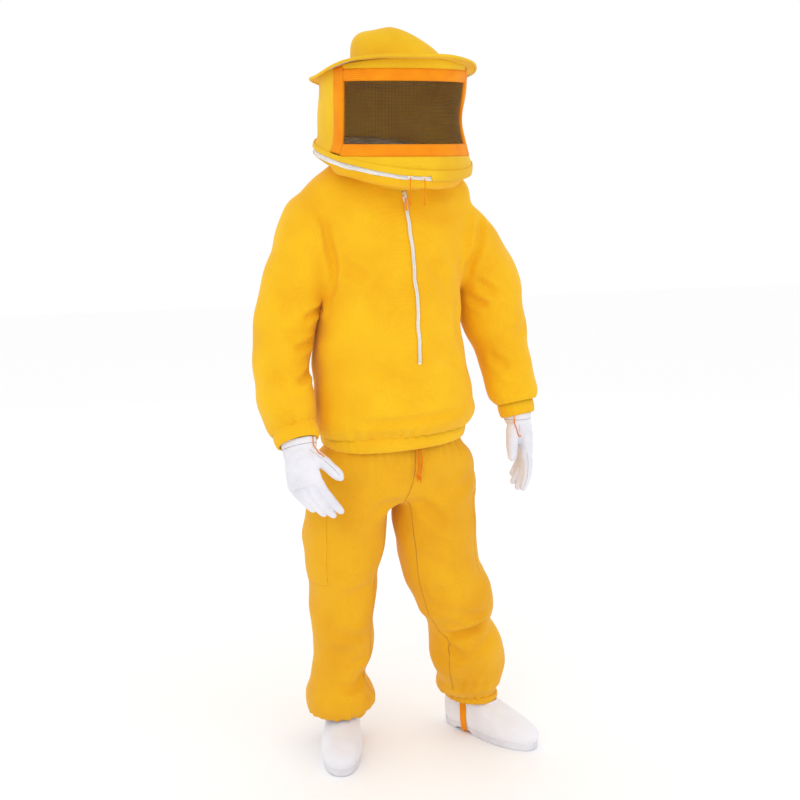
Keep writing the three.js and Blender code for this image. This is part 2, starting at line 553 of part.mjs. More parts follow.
// ---------------------------------------------------------------------------------------------------------
// The suit
// ---------------------------------------------------------------------------------------------------------
makeHat();
makeVeil();
makeNeckZip();
makeJacket();
makeFrontZip();
makeSeat();
for (const [side, sign] of [["left", 1], ["right", -1]]) {
  makeSleeve(side, sign);
  makeGlove(side, sign);
  makeLeg(side, sign);
  makeClog(side);
  piece(`drawstring_${side}`, cord(DRAWSTRING[side], 2, 12), orangeTape);
}

const root = new THREE.Group();
root.add(suit);
export default root;
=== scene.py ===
"""Looks of the beekeeping suit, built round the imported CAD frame. Lengths are in millimetres in the suit's own
frame (the wearer faces -Y, +X is the wearer's left), and become metres in the row's frame when a mesh is made."""
import math

import bmesh
import bpy
import numpy as np
from mathutils import Euler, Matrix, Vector
from mathutils.bvhtree import BVHTree

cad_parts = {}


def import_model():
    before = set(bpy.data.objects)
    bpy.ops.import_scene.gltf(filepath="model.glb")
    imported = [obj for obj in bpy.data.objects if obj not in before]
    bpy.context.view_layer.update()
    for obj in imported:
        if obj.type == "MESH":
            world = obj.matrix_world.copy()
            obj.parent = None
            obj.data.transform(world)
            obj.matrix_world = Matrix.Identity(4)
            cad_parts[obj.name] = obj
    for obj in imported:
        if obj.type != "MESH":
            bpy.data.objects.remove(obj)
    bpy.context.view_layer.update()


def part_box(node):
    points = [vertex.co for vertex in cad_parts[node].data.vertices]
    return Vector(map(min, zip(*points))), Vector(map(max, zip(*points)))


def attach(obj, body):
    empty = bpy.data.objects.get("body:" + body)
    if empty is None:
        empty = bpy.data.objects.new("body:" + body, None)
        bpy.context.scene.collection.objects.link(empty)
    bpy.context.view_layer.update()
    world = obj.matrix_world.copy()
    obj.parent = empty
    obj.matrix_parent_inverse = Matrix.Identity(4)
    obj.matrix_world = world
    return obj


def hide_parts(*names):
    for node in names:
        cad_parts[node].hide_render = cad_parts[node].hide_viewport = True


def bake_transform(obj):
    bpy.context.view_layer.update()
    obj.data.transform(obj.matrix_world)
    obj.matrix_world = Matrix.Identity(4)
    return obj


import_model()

PLACE = np.array([-10.7, 15.3, 0.0])
SIDES = (("left", 1), ("right", -1))


def world(points):
    return (np.asarray(points, float) + PLACE) * 0.001


def clamp01(v):
    return np.clip(v, 0.0, 1.0)


def ease(v):
    v = clamp01(v)
    return v * v * (3 - 2 * v)


# ------------------------------------------------------------------------------------------------------------
# Camera, floor and light
# ------------------------------------------------------------------------------------------------------------
def make_stage():
    scene = bpy.context.scene
    camera = bpy.data.objects.new("camera", bpy.data.cameras.new("camera"))
    camera.data.sensor_width = 36
    camera.data.lens = 59.2
    camera.data.clip_end = 60
    camera.location = world((-992.6, -3126.1, 1600))
    camera.rotation_euler = Euler((math.radians(78.5), 0, math.radians(-18)))
    scene.collection.objects.link(camera)
    scene.camera = camera
    scene.view_settings.view_transform = "Standard"
    scene.view_settings.look = "None"

    mesh = bpy.data.meshes.new("floor")
    mesh.from_pydata([(-9, -9, 0), (9, -9, 0), (9, 9, 0), (-9, 9, 0)], [], [(0, 1, 2, 3)])
    floor = bpy.data.objects.new("floor", mesh)
    scene.collection.objects.link(floor)
    pale = bpy.data.materials.new("floor")
    pale.use_nodes = True
    shader = pale.node_tree.nodes["Principled BSDF"]
    shader.inputs["Base Color"].default_value = (0.98, 0.98, 0.98, 1)
    shader.inputs["Roughness"].default_value = 0.9
    mesh.materials.append(pale)

    studio = bpy.data.worlds.new("studio")
    studio.use_nodes = True
    studio.node_tree.nodes["Background"].inputs["Color"].default_value = (1, 1, 1, 1)
    studio.node_tree.nodes["Background"].inputs["Strength"].default_value = 1.0
    scene.world = studio
    for name, place, size, power in (("key", (-2.2, -3.6, 3.6), 2.4, 24), ("fill", (2.9, -2.6, 2.0), 2.2, 6),
                                     ("back", (0.6, 3.2, 2.8), 2.6, 10)):
        lamp = bpy.data.objects.new(name, bpy.data.lights.new(name, "AREA"))
        lamp.data.size = size
        lamp.data.energy = power
        lamp.location = place
        lamp.rotation_euler = (Vector((0, 0, 1.0)) - Vector(place)).to_track_quat("-Z", "Y").to_euler()
        scene.collection.objects.link(lamp)


# ------------------------------------------------------------------------------------------------------------
# Materials
# ------------------------------------------------------------------------------------------------------------
class Look:
    """A Principled material with helpers that add procedural detail to it."""

    def __init__(self, name, roughness, **sockets):
        self.material = bpy.data.materials.new(name)
        self.material.use_nodes = True
        self.nodes = self.material.node_tree.nodes
        self.links = self.material.node_tree.links
        self.shader = self.nodes["Principled BSDF"]
        self.shader.inputs["Roughness"].default_value = roughness
        for socket, value in sockets.items():
            self.shader.inputs[socket.replace("_", " ")].default_value = value
        self.place = self.nodes.new("ShaderNodeTexCoord").outputs["Object"]
        self.bumped = None

    def texture(self, kind, scale, stretch=(1, 1, 1), **settings):
        stretched = self.nodes.new("ShaderNodeMapping")
        stretched.inputs["Scale"].default_value = stretch
        self.links.new(self.place, stretched.inputs["Vector"])
        node = self.nodes.new("ShaderNodeTex" + kind)
        self.links.new(stretched.outputs["Vector"], node.inputs["Vector"])
        node.inputs["Scale"].default_value = scale
        for key, value in settings.items():
            if key in node.inputs:
                node.inputs[key].default_value = value
            else:
                setattr(node, key, value)
        return node.outputs.get("Fac") or node.outputs.get("Distance") or node.outputs[0]

    def ramp(self, factor, stops):
        node = self.nodes.new("ShaderNodeValToRGB")
        while len(node.color_ramp.elements) < len(stops):
            node.color_ramp.elements.new(0.5)
        for element, (at, colour) in zip(node.color_ramp.elements, stops):
            element.position = at
            element.color = (*colour, 1) if len(colour) == 3 else colour
        self.links.new(factor, node.inputs["Fac"])
        return node.outputs["Color"]

    def blend(self, a, b, factor, kind="MIX"):
        node = self.nodes.new("ShaderNodeMix")
        node.data_type = "RGBA"
        node.blend_type = kind
        for value, socket in ((factor, 0), (a, 6), (b, 7)):
            if isinstance(value, (int, float)):
                node.inputs[socket].default_value = value
            elif isinstance(value, tuple):
                node.inputs[socket].default_value = (*value, 1)
            else:
                self.links.new(value, node.inputs[socket])
        return node.outputs[2]

    def colour(self, output):
        self.links.new(output, self.shader.inputs["Base Color"])

    def rough(self, factor, low, high):
        node = self.nodes.new("ShaderNodeMapRange")
        node.inputs["To Min"].default_value = low
        node.inputs["To Max"].default_value = high
        self.links.new(factor, node.inputs["Value"])
        self.links.new(node.outputs["Result"], self.shader.inputs["Roughness"])

    def bump(self, height, strength, distance):
        node = self.nodes.new("ShaderNodeBump")
        node.inputs["Strength"].default_value = strength
        node.inputs["Distance"].default_value = distance
        self.links.new(height, node.inputs["Height"])
        if self.bumped:
            self.links.new(self.bumped, node.inputs["Normal"])
        self.bumped = node.outputs["Normal"]
        self.links.new(self.bumped, self.shader.inputs["Normal"])


def spacer_fabric(name, light, deep):
    look = Look(name, 0.82, Sheen_Weight=0.22, Sheen_Roughness=0.45)
    look.shader.inputs["Sheen Tint"].default_value = (1.0, 0.86, 0.5, 1)
    look.shader.inputs["Specular IOR Level"].default_value = 0.25
    cells = look.texture("Voronoi", 390, feature="F1", Randomness=0.35)
    pits = look.ramp(cells, [(0.0, (0.0, 0.0, 0.0)), (0.42, (1.0, 1.0, 1.0))])
    clouds = look.texture("Noise", 7, Detail=3.0)
    mottled = look.ramp(clouds, [(0.32, deep), (0.62, light)])
    look.colour(look.blend(mottled, look.blend(mottled, pits, 1.0, "MULTIPLY"), 0.16))
    fibres = look.texture("Noise", 260, Detail=2.0)
    look.bump(fibres, 0.25, 0.0005)
    look.bump(pits, 0.35, 0.0006)
    return look.material


def tape(name, light, deep, ribs=900, roughness=0.7):
    look = Look(name, roughness, Sheen_Weight=0.04)
    look.shader.inputs["Specular IOR Level"].default_value = 0.2
    weave = look.texture("Wave", ribs / 6, wave_type="BANDS", bands_direction="DIAGONAL", Distortion=1.5)
    clouds = look.texture("Noise", 25, Detail=2.0)
    mixed = look.ramp(clouds, [(0.3, deep), (0.65, light)])
    look.colour(look.blend(mixed, look.blend(mixed, weave, 1.0, "MULTIPLY"), 0.18))
    look.bump(weave, 0.4, 0.0003)
    return look.material


def leather(name, light, deep):
    look = Look(name, 0.52)
    grain = look.texture("Voronoi", 520, feature="DISTANCE_TO_EDGE", Randomness=1.0)
    creases = look.texture("Noise", 60, Detail=5.0, Roughness=0.6)
    clouds = look.texture("Noise", 14, Detail=3.0)
    look.colour(look.ramp(clouds, [(0.3, deep), (0.6, light)]))
    look.rough(creases, 0.42, 0.66)
    look.bump(creases, 0.25, 0.0012)
    look.bump(grain, 0.3, 0.0003)
    return look.material


def moulded(name, light, deep, roughness, grain=700):
    look = Look(name, roughness)
    clouds = look.texture("Noise", 9, Detail=4.0)
    skin = look.texture("Noise", grain, Detail=2.0)
    look.colour(look.ramp(clouds, [(0.35, deep), (0.6, light)]))
    look.rough(clouds, roughness - 0.06, roughness + 0.1)
    look.bump(skin, 0.12, 0.0004)
    return look.material


def net(name):
    look = Look(name, 0.75)
    clouds = look.texture("Noise", 30, Detail=2.0)
    look.colour(look.ramp(clouds, [(0.3, (0.05, 0.042, 0.014)), (0.7, (0.09, 0.076, 0.026))]))
    coords = look.nodes.new("ShaderNodeUVMap").outputs["UV"]
    look.place = coords
    across = look.texture("Wave", 1.0, wave_type="BANDS", bands_direction="X", wave_profile="SIN")
    down = look.texture("Wave", 1.0, wave_type="BANDS", bands_direction="Y", wave_profile="SIN")
    threads = look.blend(across, down, 1.0, "LIGHTEN")
    cover = look.ramp(threads, [(0.87, (0, 0, 0)), (0.95, (1, 1, 1))])
    look.links.new(cover, look.shader.inputs["Alpha"])
    return look.material


def steel(name):
    look = Look(name, 0.3, Metallic=1.0)
    drawn = look.texture("Noise", 90, Detail=3.0)
    look.colour(look.ramp(drawn, [(0.3, (0.42, 0.42, 0.41)), (0.7, (0.62, 0.62, 0.6))]))
    look.rough(drawn, 0.22, 0.4)
    return look.material


make_stage()
YELLOW = spacer_fabric("jacket_fabric", (0.92, 0.52, 0.007), (0.86, 0.44, 0.005))
DEEP = spacer_fabric("trouser_fabric", (0.83, 0.42, 0.008), (0.76, 0.35, 0.006))
HOOD = spacer_fabric("hood_fabric", (0.88, 0.54, 0.012), (0.8, 0.45, 0.01))
ORANGE = tape("orange_tape", (1.0, 0.34, 0.0), (0.95, 0.27, 0.0))
WHITE_TAPE = tape("white_tape", (0.9, 0.88, 0.86), (0.78, 0.76, 0.75))
COIL = moulded("zip_coil", (0.92, 0.91, 0.9), (0.84, 0.83, 0.82), 0.35)
NET = net("window_net")
LEATHER = leather("glove_skin", (0.82, 0.81, 0.86), (0.72, 0.71, 0.77))
CLOG = moulded("clog_foam", (0.84, 0.83, 0.87), (0.76, 0.75, 0.79), 0.42)
SOLE = moulded("sole_rubber", (0.78, 0.77, 0.81), (0.66, 0.65, 0.69), 0.55)
LINING = moulded("insole_foam", (0.7, 0.69, 0.72), (0.6, 0.59, 0.62), 0.8, 300)
STEEL = steel("hoop_steel")
CORD = tape("orange_cord", (1.0, 0.3, 0.003), (0.85, 0.2, 0.002), 2400)


# ------------------------------------------------------------------------------------------------------------
# Shapes
# ------------------------------------------------------------------------------------------------------------
def make_object(name, verts, faces, material, smooth=True):
    mesh = bpy.data.meshes.new(name)
    mesh.from_pydata(world(verts).tolist(), [], [tuple(int(i) for i in face) for face in faces])
    mesh.validate()
    mesh.materials.append(material)
    if smooth:
        mesh.polygons.foreach_set("use_smooth", [True] * len(mesh.polygons))
    obj = bpy.data.objects.new(name, mesh)
    bpy.context.scene.collection.objects.link(obj)
    return obj


def through(rows, steps, along="place"):
    """Smooth steps through rows of numbers."""
    rows = np.array(rows, float)
    if along == "height":
        at = rows[:, 0] - rows[0, 0]
    else:
        at = np.r_[0, np.cumsum(np.linalg.norm(np.diff(rows[:, :3], axis=0), axis=1))]
    slopes = np.empty_like(rows)
    slopes[1:-1] = (rows[2:] - rows[:-2]) / (at[2:] - at[:-2])[:, None]
    slopes[0] = (rows[1] - rows[0]) / (at[1] - at[0])
    slopes[-1] = (rows[-1] - rows[-2]) / (at[-1] - at[-2])
    s = np.linspace(0, at[-1], steps + 1)
    i = np.clip(np.searchsorted(at, s, side="right") - 1, 0, len(at) - 2)
    h = (at[i + 1] - at[i])[:, None]
    t = (s - at[i])[:, None] / h
    return ((1 + 2 * t) * (1 - t) ** 2 * rows[i] + t * (1 - t) ** 2 * h * slopes[i]
            + t * t * (3 - 2 * t) * rows[i + 1] + t * t * (t - 1) * h * slopes[i + 1])


def oval(centre, u, v, ru, rv, sides, power=2.0):
    a = np.arange(sides) * 2 * math.pi / sides
    bulge = lambda w: np.sign(w) * np.abs(w) ** (2 / power)
    return (np.asarray(centre, float) + np.outer(bulge(np.cos(a)) * ru, np.asarray(u, float))
            + np.outer(bulge(np.sin(a)) * rv, np.asarray(v, float)))


def upright(rows, sides=96, steps=60, grow=0.0):
    """Rings from rows of [height, middle x, half width, front, back, squareness]."""
    rings = []
    for z, x, half, front, back, power in through(rows, steps, "height"):
        rings.append(oval((x, (front + back) / 2, z), (1, 0, 0), (0, 1, 0), half + grow,
                          (back - front) / 2 + grow,
                          sides, power))
    return np.array(rings)


def limb(rows, sides=64, steps=60, yaw=0.0, power=2.0, grow=0.0):
    """Rings from rows of [x, y, z, half width, half depth], square to the limb."""
    fine = through(rows, steps)
    across = np.array([math.cos(math.radians(yaw)), math.sin(math.radians(yaw)), 0])
    rings = []
    for k, row in enumerate(fine):
        way = fine[min(k + 1, len(fine) - 1), :3] - fine[max(k - 1, 0), :3]
        way /= np.linalg.norm(way)
        u = across - across.dot(way) * way
        u /= np.linalg.norm(u)
        rings.append(oval(row[:3], u, np.cross(way, u), row[3] + grow, row[4] + grow, sides, power))
    return np.array(rings)


def skin(rings, ends=True):
    count, sides = rings.shape[:2]
    i = np.arange(sides)
    j = (i + 1) % sides
    faces = [np.stack([k * sides + i, k * sides + j, (k + 1) * sides + j, (k + 1) * sides + i], 1)
             for k in range(count - 1)]
    faces = np.concatenate(faces).tolist()
    if ends:
        faces += [list(range(sides))[::-1], list(range((count - 1) * sides, count * sides))]
    return rings.reshape(-1, 3), faces


def grid(points, closed=False):
    """Faces for a table of points, joined round in its second direction where it is closed."""
    rows, columns = points.shape[:2]
    last = columns if closed else columns - 1
    faces = [(r * columns + c, r * columns + (c + 1) % columns, (r + 1) * columns + (c + 1) % columns,
              (r + 1) * columns + c) for r in range(rows - 1) for c in range(last)]
    return points.reshape(-1, 3), faces


class Cloth:
    """A fused quad skin, held as arrays so that folds can be pressed into it."""

    def __init__(self, parts, voxel, rounds=10):
        verts, faces, count = [], [], 0
        for part_verts, part_faces in parts:
            verts.append(part_verts)
            faces += [[i + count for i in face] for face in part_faces]
            count += len(part_verts)
        raw = make_object("raw", np.concatenate(verts), faces, YELLOW)
        bm = bmesh.new()
        bm.from_mesh(raw.data)
        bmesh.ops.recalc_face_normals(bm, faces=bm.faces)
        bm.to_mesh(raw.data)
        bm.free()
        remesh = raw.modifiers.new("fuse", "REMESH")
        remesh.mode = "VOXEL"
        remesh.voxel_size = voxel * 0.001
        evaluated = raw.evaluated_get(bpy.context.evaluated_depsgraph_get())
        mesh = bpy.data.meshes.new_from_object(evaluated)
        self.v = np.empty(len(mesh.vertices) * 3)
        mesh.vertices.foreach_get("co", self.v)
        self.v = self.v.reshape(-1, 3) * 1000 - PLACE
        loops = np.empty(len(mesh.loops), int)
        mesh.loops.foreach_get("vertex_index", loops)
        self.f = loops.reshape(-1, 4)
        bpy.data.objects.remove(raw)
        bpy.data.meshes.remove(mesh)
        pairs = np.concatenate([self.f[:, [0, 1]], self.f[:, [1, 2]], self.f[:, [2, 3]], self.f[:, [3, 0]]])
        self.a, self.b = pairs[:, 0], pairs[:, 1]
        self.degree = np.bincount(self.a, minlength=len(self.v)).astype(float)
        self.smooth(rounds)

    def step(self, rate, weight):
        mean = np.stack([np.bincount(self.a, self.v[self.b, k], len(self.v)) for k in range(3)], 1)
        self.v += rate * weight * (mean / self.degree[:, None] - self.v)

    def smooth(self, rounds, where=None):
        weight = 1.0 if where is None else where[:, None]
        for _ in range(rounds):
            self.step(0.6, weight)
            self.step(-0.61, weight)

    def relax(self, rounds, where=None):
        weight = 1.0 if where is None else where[:, None]
        for _ in range(rounds):
            self.step(0.5, weight)

    def tree(self):
        return BVHTree.FromPolygons(self.v.tolist(), self.f.tolist())

    def normals(self):
        p = self.v[self.f]
        cross = np.cross(p[:, 2] - p[:, 0], p[:, 3] - p[:, 1])
        total = np.stack([np.bincount(self.f.ravel(), np.repeat(cross[:, k], 4),
                                      len(self.v)) for k in range(3)], 1)
        return total / np.maximum(np.linalg.norm(total, axis=1), 1e-9)[:, None]

    def push(self, amount):
        self.v += self.normals() * np.asarray(amount)[:, None]

    def fold(self, points, width, depth, ridge=0.55):
        """Presses a soft groove of some depth along a line of points, with a ridge on each side of it."""
        line = through(points, 28)[:, :3]
        near = np.where(((self.v > line.min(0) - 4 * width) & (self.v < line.max(0) + 4 * width)).all(1))[0]
        if not len(near):
            return
        gap = np.linalg.norm(self.v[near][:, None] - line[None], axis=2)
        best = gap.argmin(1)
        along = best / (len(line) - 1)
        taper = ease(along / 0.3) * ease((1 - along) / 0.3)
        q = gap[np.arange(len(near)), best] / width
        shape = -np.exp(-q ** 2) + ridge * np.exp(-((q - 1.75) / 0.85) ** 2)
        amount = np.zeros(len(self.v))
        amount[near] = depth * taper * shape
        self.push(amount)

    def rumple(self, amount, size, seed, where=None):
        """Soft uneven waves."""
        rng = np.random.default_rng(seed)
        waves = np.zeros(len(self.v))
        for _ in range(14):
            way = rng.normal(size=3)
            way /= np.linalg.norm(way)
            waves += np.sin(self.v @ way * 2 * math.pi / (size * rng.uniform(0.7, 1.6)) + rng.uniform(0, 6.3))
        waves *= amount / 2.6
        self.push(waves if where is None else waves * where)

    def gathers(self, centre, axis, at, reach, amount, count, seed, way=1.0):
        """Pleats that run away from a gathered edge, across the line of an axis."""
        rng = np.random.default_rng(seed)
        axis = np.asarray(axis, float) / np.linalg.norm(axis)
        relative = self.v - np.asarray(centre, float)
        height = (relative @ axis - at) * way
        u = np.cross(axis, (0.3, 1, 0.2))
        u /= np.linalg.norm(u)
        angle = np.arctan2(relative @ np.cross(axis, u), relative @ u)
        pleats = np.zeros(len(self.v))
        for n in range(count - 5, count + 6, 2):
            pleats += np.cos(n * angle + rng.uniform(0, 6.3) + 0.012 * height * rng.uniform(-1,
                                                                                            1)) * rng.uniform(0.4, 1)
        fade = np.where(height > -25, np.exp(-np.maximum(height, 0) / reach), 0)
        self.push(amount * pleats / 2.2 * fade * ((height < reach * 4) & (height > -25)))

    def piece(self, name, keep, material, cuts=(), parts=()):
        """The part of the skin whose faces are kept, with clean edges where planes cut it, or cut a part of it."""
        faces = self.f[keep] if keep is not None else self.f
        used, inverse = np.unique(faces.ravel(), return_inverse=True)
        obj = make_object(name, self.v[used], inverse.reshape(-1, 4), material)
        bm = bmesh.new()
        bm.from_mesh(obj.data)
        bm.faces.ensure_lookup_table()
        mark = bm.faces.layers.int.new("part")
        for number, (zone, _, _) in enumerate(parts):
            for index in np.where(zone)[0]:
                bm.faces[int(index)][mark] = number + 1
        for number, (_, point, normal) in enumerate(parts):
            some = [face for face in bm.faces if face[mark] == number + 1]
            geom = set(some)
            for face in some:
                geom.update(face.verts)
                geom.update(face.edges)
            bmesh.ops.bisect_plane(bm, geom=list(geom), plane_co=world(point), plane_no=normal)
            gone = [face for face in bm.faces if face[mark] == number + 1
                    and (face.calc_center_median() - Vector(world(point))).dot(Vector(normal)) > 0]
            bmesh.ops.delete(bm, geom=gone, context="FACES")
        for point, normal in cuts:
            bmesh.ops.bisect_plane(bm, geom=bm.verts[:] + bm.edges[:] + bm.faces[:], plane_co=world(point),
                                   plane_no=normal, clear_outer=True)
        bm.faces.layers.int.remove(mark)
        bm.to_mesh(obj.data)
        bm.free()
        obj.data.polygons.foreach_set("use_smooth", [True] * len(obj.data.polygons))
        return obj


def on_surface(tree, points, lift=0.0):
    """Points moved onto a skin, and the way out of the skin at each of them."""
    hits = [tree.find_nearest(Vector(point)) for point in points]
    places = np.array([hit[0] for hit in hits])
    away = np.array([hit[1] for hit in hits])
    away[1:-1] = away[:-2] + 2 * away[1:-1] + away[2:]
    away /= np.linalg.norm(away, axis=1)[:, None]
    return places + away * lift, away


def thicken(obj, thickness, offset=-1.0):
    mod = obj.modifiers.new("thickness", "SOLIDIFY")
    mod.thickness = thickness * 0.001
    mod.offset = offset
    mod.use_quality_normals = False
    return applied(obj)


def applied(obj):
    evaluated = obj.evaluated_get(bpy.context.evaluated_depsgraph_get())
    mesh = bpy.data.meshes.new_from_object(evaluated)
    obj.modifiers.clear()
    obj.data = mesh
    mesh.polygons.foreach_set("use_smooth", [True] * len(mesh.polygons))
    return obj


def rounded(obj, levels=2):
    obj.modifiers.new("smooth", "SUBSURF").levels = levels
    return applied(obj)


def put(obj, body, slot, *nodes):
    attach(obj, body)
    if nodes:
        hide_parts(*nodes)
    return obj


# ------------------------------------------------------------------------------------------------------------
# Shared lines
# ------------------------------------------------------------------------------------------------------------
ZIP_TOP = np.array([-0.7, -95.5, 1500.0])
ZIP_FOOT = np.array([18.0, -168.0, 1050.0])
HOOD_Y, RIM_Z, RIM_TILT, RIM_ROLL, RIM_R = -15.0, 1546.0, math.radians(11.5), math.radians(4.6), 196.0
BRIM_Z, BRIM_TILT, BRIM_R = 1738.6, math.radians(-9.4), 202.5
RING_R = 190.5
ZIP_LINE = -8.5


def tilted(points, z, tilt, roll=0.0):
    """Carries points of a tilted ring's own frame into the suit's frame."""
    p = np.asarray(points, float)
    x = p[..., 0] * math.cos(roll) + p[..., 2] * math.sin(roll)
    up = p[..., 2] * math.cos(roll) - p[..., 0] * math.sin(roll)
    y = HOOD_Y + p[..., 1] * math.cos(tilt) - up * math.sin(tilt)
    return np.stack([x, y, z + p[..., 1] * math.sin(tilt) + up * math.cos(tilt)], -1)


def rim_frame(points):
    return tilted(points, RIM_Z, RIM_TILT, RIM_ROLL)


def brim_frame(points):
    return tilted(points, BRIM_Z, BRIM_TILT)


def round_point(r, degrees, z=0.0):
    a = np.radians(degrees)
    return np.stack([r * np.sin(a), -r * np.cos(a), z + 0 * a], -1)


def ribbon(line, side, up, width, thick, name, material, crown=0.0):
    """A soft strap along a line of points: a flat rounded section, its width along side, its outer face along up."""
    line, side, up = (np.asarray(a, float) for a in (line, side, up))
    kept = (np.linalg.norm(side, axis=-1) > 1e-6) & (np.linalg.norm(up, axis=-1) > 1e-6)
    line, side, up = line[kept], side[kept], up[kept]
    side = side / np.linalg.norm(side, axis=-1, keepdims=True)
    up = up / np.linalg.norm(up, axis=-1, keepdims=True)
    half = width / 2
    section = [(-half, 0.15), (-half, 0.7), (-half + 1, 1.0), (-half * 0.4, 1.0 + crown),
               (half * 0.4, 1.0 + crown),
               (half - 1, 1.0), (half, 0.7), (half, 0.15), (half - 1, 0), (-half + 1, 0)]
    rings = np.array([[line[k] + s * side[k] + thick * t * up[k] for s,
                       t in section] for k in range(len(line))])
    return make_object(name, *skin(rings), material)


def stitches(path, away, pitch, length, size, name, material):
    """A row of small raised stitches along a path."""
    path, away = np.asarray(path, float), np.asarray(away, float)
    run = np.r_[0, np.cumsum(np.linalg.norm(np.diff(path, axis=0), axis=1))]
    verts, faces = [], []
    for s in np.arange(pitch / 2, run[-1] - length, pitch):
        ends = [np.array([np.interp(t, run, path[:, k]) for k in range(3)]) for t in (s, s + length)]
        up = np.array([np.interp(s, run, away[:, k]) for k in range(3)])
        up /= np.linalg.norm(up)
        way = ends[1] - ends[0]
        way /= np.linalg.norm(way)
        side = np.cross(way, up)
        base = len(verts)
        for end, h in ((ends[0], 0.1), (ends[0] + way * length * 0.25, 1), (ends[1] - way * length * 0.25, 1),
                       (ends[1], 0.1)):
            for a, b in ((-1, 0), (0, 1), (1, 0), (0, -1)):
                verts.append(end + size * (a * side + (b * 0.8 + 0.2) * up) * (0.55 + 0.45 * h) )
        for k in range(3):
            for i in range(4):
                faces.append((base + 4 * k + i, base + 4 * k + (i + 1) % 4, base + 4 * k + 4 + (i + 1) % 4,
                              base + 4 * k + 4 + i))
        faces += [(base + 3, base + 2, base + 1, base), (base + 12, base + 13, base + 14, base + 15)]
    return make_object(name, np.array(verts), faces, material)


def seam(name, tree, points, material, width=2.4, height=0.8, steps=60, sink=0.3):
    """A narrow flat line of sewing laid along a skin."""
    points = np.asarray(points, float)
    path, away = on_surface(tree, through(points, steps)[:, :3] if len(points) < 24 else points, -sink)
    moved = np.r_[True, np.linalg.norm(np.diff(path, axis=0), axis=1) > 0.2]
    path, away = path[moved], away[moved]
    way = np.gradient(path, axis=0)
    return ribbon(path, np.cross(way, away), away, width, height, name, material)


def tube(name, points, radius, material, sides=10, steps=80, flat=1.0, ends=True):
    """A round cord along smooth points, with rounded ends."""
    path = through(points, steps)[:, :3]
    way = np.gradient(path, axis=0)
    way /= np.linalg.norm(way, axis=1)[:, None]
    u = np.cross(way[0], (0.31, 0.9, 0.2))
    rings = []
    for k in range(len(path)):
        u = u - u.dot(way[k]) * way[k]
        u /= np.linalg.norm(u)
        gone = min(k, len(path) - 1 - k)
        r = radius * ((0.55, 0.85)[gone] if ends and gone < 2 else 1.0)
        rings.append(oval(path[k], u, np.cross(way[k], u), r, r * flat, sides))
    return make_object(name, *skin(np.array(rings)), material), path


def knot(name, centre, down, size, material):
    """A small overhand knot with a short tail below it."""
    down = np.asarray(down, float) / np.linalg.norm(down)
    u = np.cross(down, (0.2, 1, 0.1))
    u /= np.linalg.norm(u)
    v = np.cross(down, u)
    t = np.linspace(0, 2 * math.pi, 40)
    turns = (np.asarray(centre, float) + np.outer(np.sin(t) + 1.6 * np.sin(2 * t), u) * size * 0.36
             + np.outer(np.cos(t) - 1.6 * np.cos(2 * t), v) * size * 0.3 + np.outer(-np.sin(3 * t),
                                                                                    down) * size * 0.5)
    wrap = tube(name + "_wrap", np.c_[turns, turns * 0][:, :3][:-1], size * 0.5, material, 8, 60)[0]
    tail = [np.asarray(centre, float) + down * size * k + u * size * 0.25 * math.sin(k) for k in (0.2, 1.2,
                                                                                                  2.2, 3.2)]
    return joined(name, [wrap, tube(name + "_tail", tail, size * 0.46, material, 8, 12)[0]])


def joined(name, objects):
    """One mesh object from several, with their materials."""
    mesh = bpy.data.meshes.new(name)
    bm = bmesh.new()
    materials = []
    for obj in objects:
        start = len(bm.faces)
        bm.from_mesh(obj.data)
        bm.faces.ensure_lookup_table()
        here = obj.data.materials[0]
        if here not in materials:
            materials.append(here)
        for face in bm.faces[start:]:
            face.material_index = materials.index(here)
        bpy.data.objects.remove(obj)
    bm.to_mesh(mesh)
    bm.free()
    for material in materials:
        mesh.materials.append(material)
    result = bpy.data.objects.new(name, mesh)
    bpy.context.scene.collection.objects.link(result)
    return result


# ------------------------------------------------------------------------------------------------------------
# Jacket
# ------------------------------------------------------------------------------------------------------------
def front_at(z):
    return ZIP_FOOT[1] + (z - ZIP_FOOT[2]) * (ZIP_TOP[1] - ZIP_FOOT[1]) / (ZIP_TOP[2] - ZIP_FOOT[2])


TORSO = [[850, 0, 178, -140, 122, 2.3], [864, 3, 193, -158, 138, 2.3], [886, 5, 202, -172, 148, 2.35],
         [930, -1, 198, -178, 150, 2.4], [1050, -12, 190, front_at(1050), 134, 2.4],
         [1170, -8, 181, front_at(1170), 134, 2.4],
         [1290, -3, 184, front_at(1290), 136, 2.4],
         [1380, -2, 198, front_at(1380), 130, 2.4],
         [1425, -6, 212, front_at(1425), 118, 2.2], [1455, -10, 216, front_at(1455), 108, 2.05],
         [1485, -8, 196, -99, 102, 2.0], [1512, -4, 164, -96, 98, 2.0], [1538, 0, 136, -93, 94, 2.0]]
ARM = {
    "left": [[150, 8, 1390, 60, 68], [180, 5, 1364, 74, 78], [244, 0, 1272, 76, 77], [273, 0, 1160, 73, 73],
             [291, -6, 1085, 71, 70], [302, -20, 1023, 71, 69], [312, -38, 962, 65, 65],
             [318, -49, 930, 59, 61],
             [320, -52, 911, 43, 46]],
    "right": [[150, 8, 1400, 62, 70], [202, 5, 1382, 76, 80], [230, 0, 1292, 76, 78], [266, 4, 1170, 73, 73],
              [283, 0, 1070, 72, 72], [288, -34, 980, 71, 71], [283, -68, 918, 66, 67],
              [273, -86, 888, 51, 51]],
}
ARM_END = {"left": ((319, -50, 917), (0.14, -0.27, -0.95)), "right": ((-274, -88, 892), (0.13, -0.53, -0.84))}
SEAM = {"left": ((200, 0, 1330), (0.94, 0, -0.34)), "right": ((-200, 0, 1330), (-0.94, 0, -0.34))}


HEM_RISE = 0.06


def mirrored(rows, sign):
    return [[sign * row[0], *row[1:]] for row in rows]


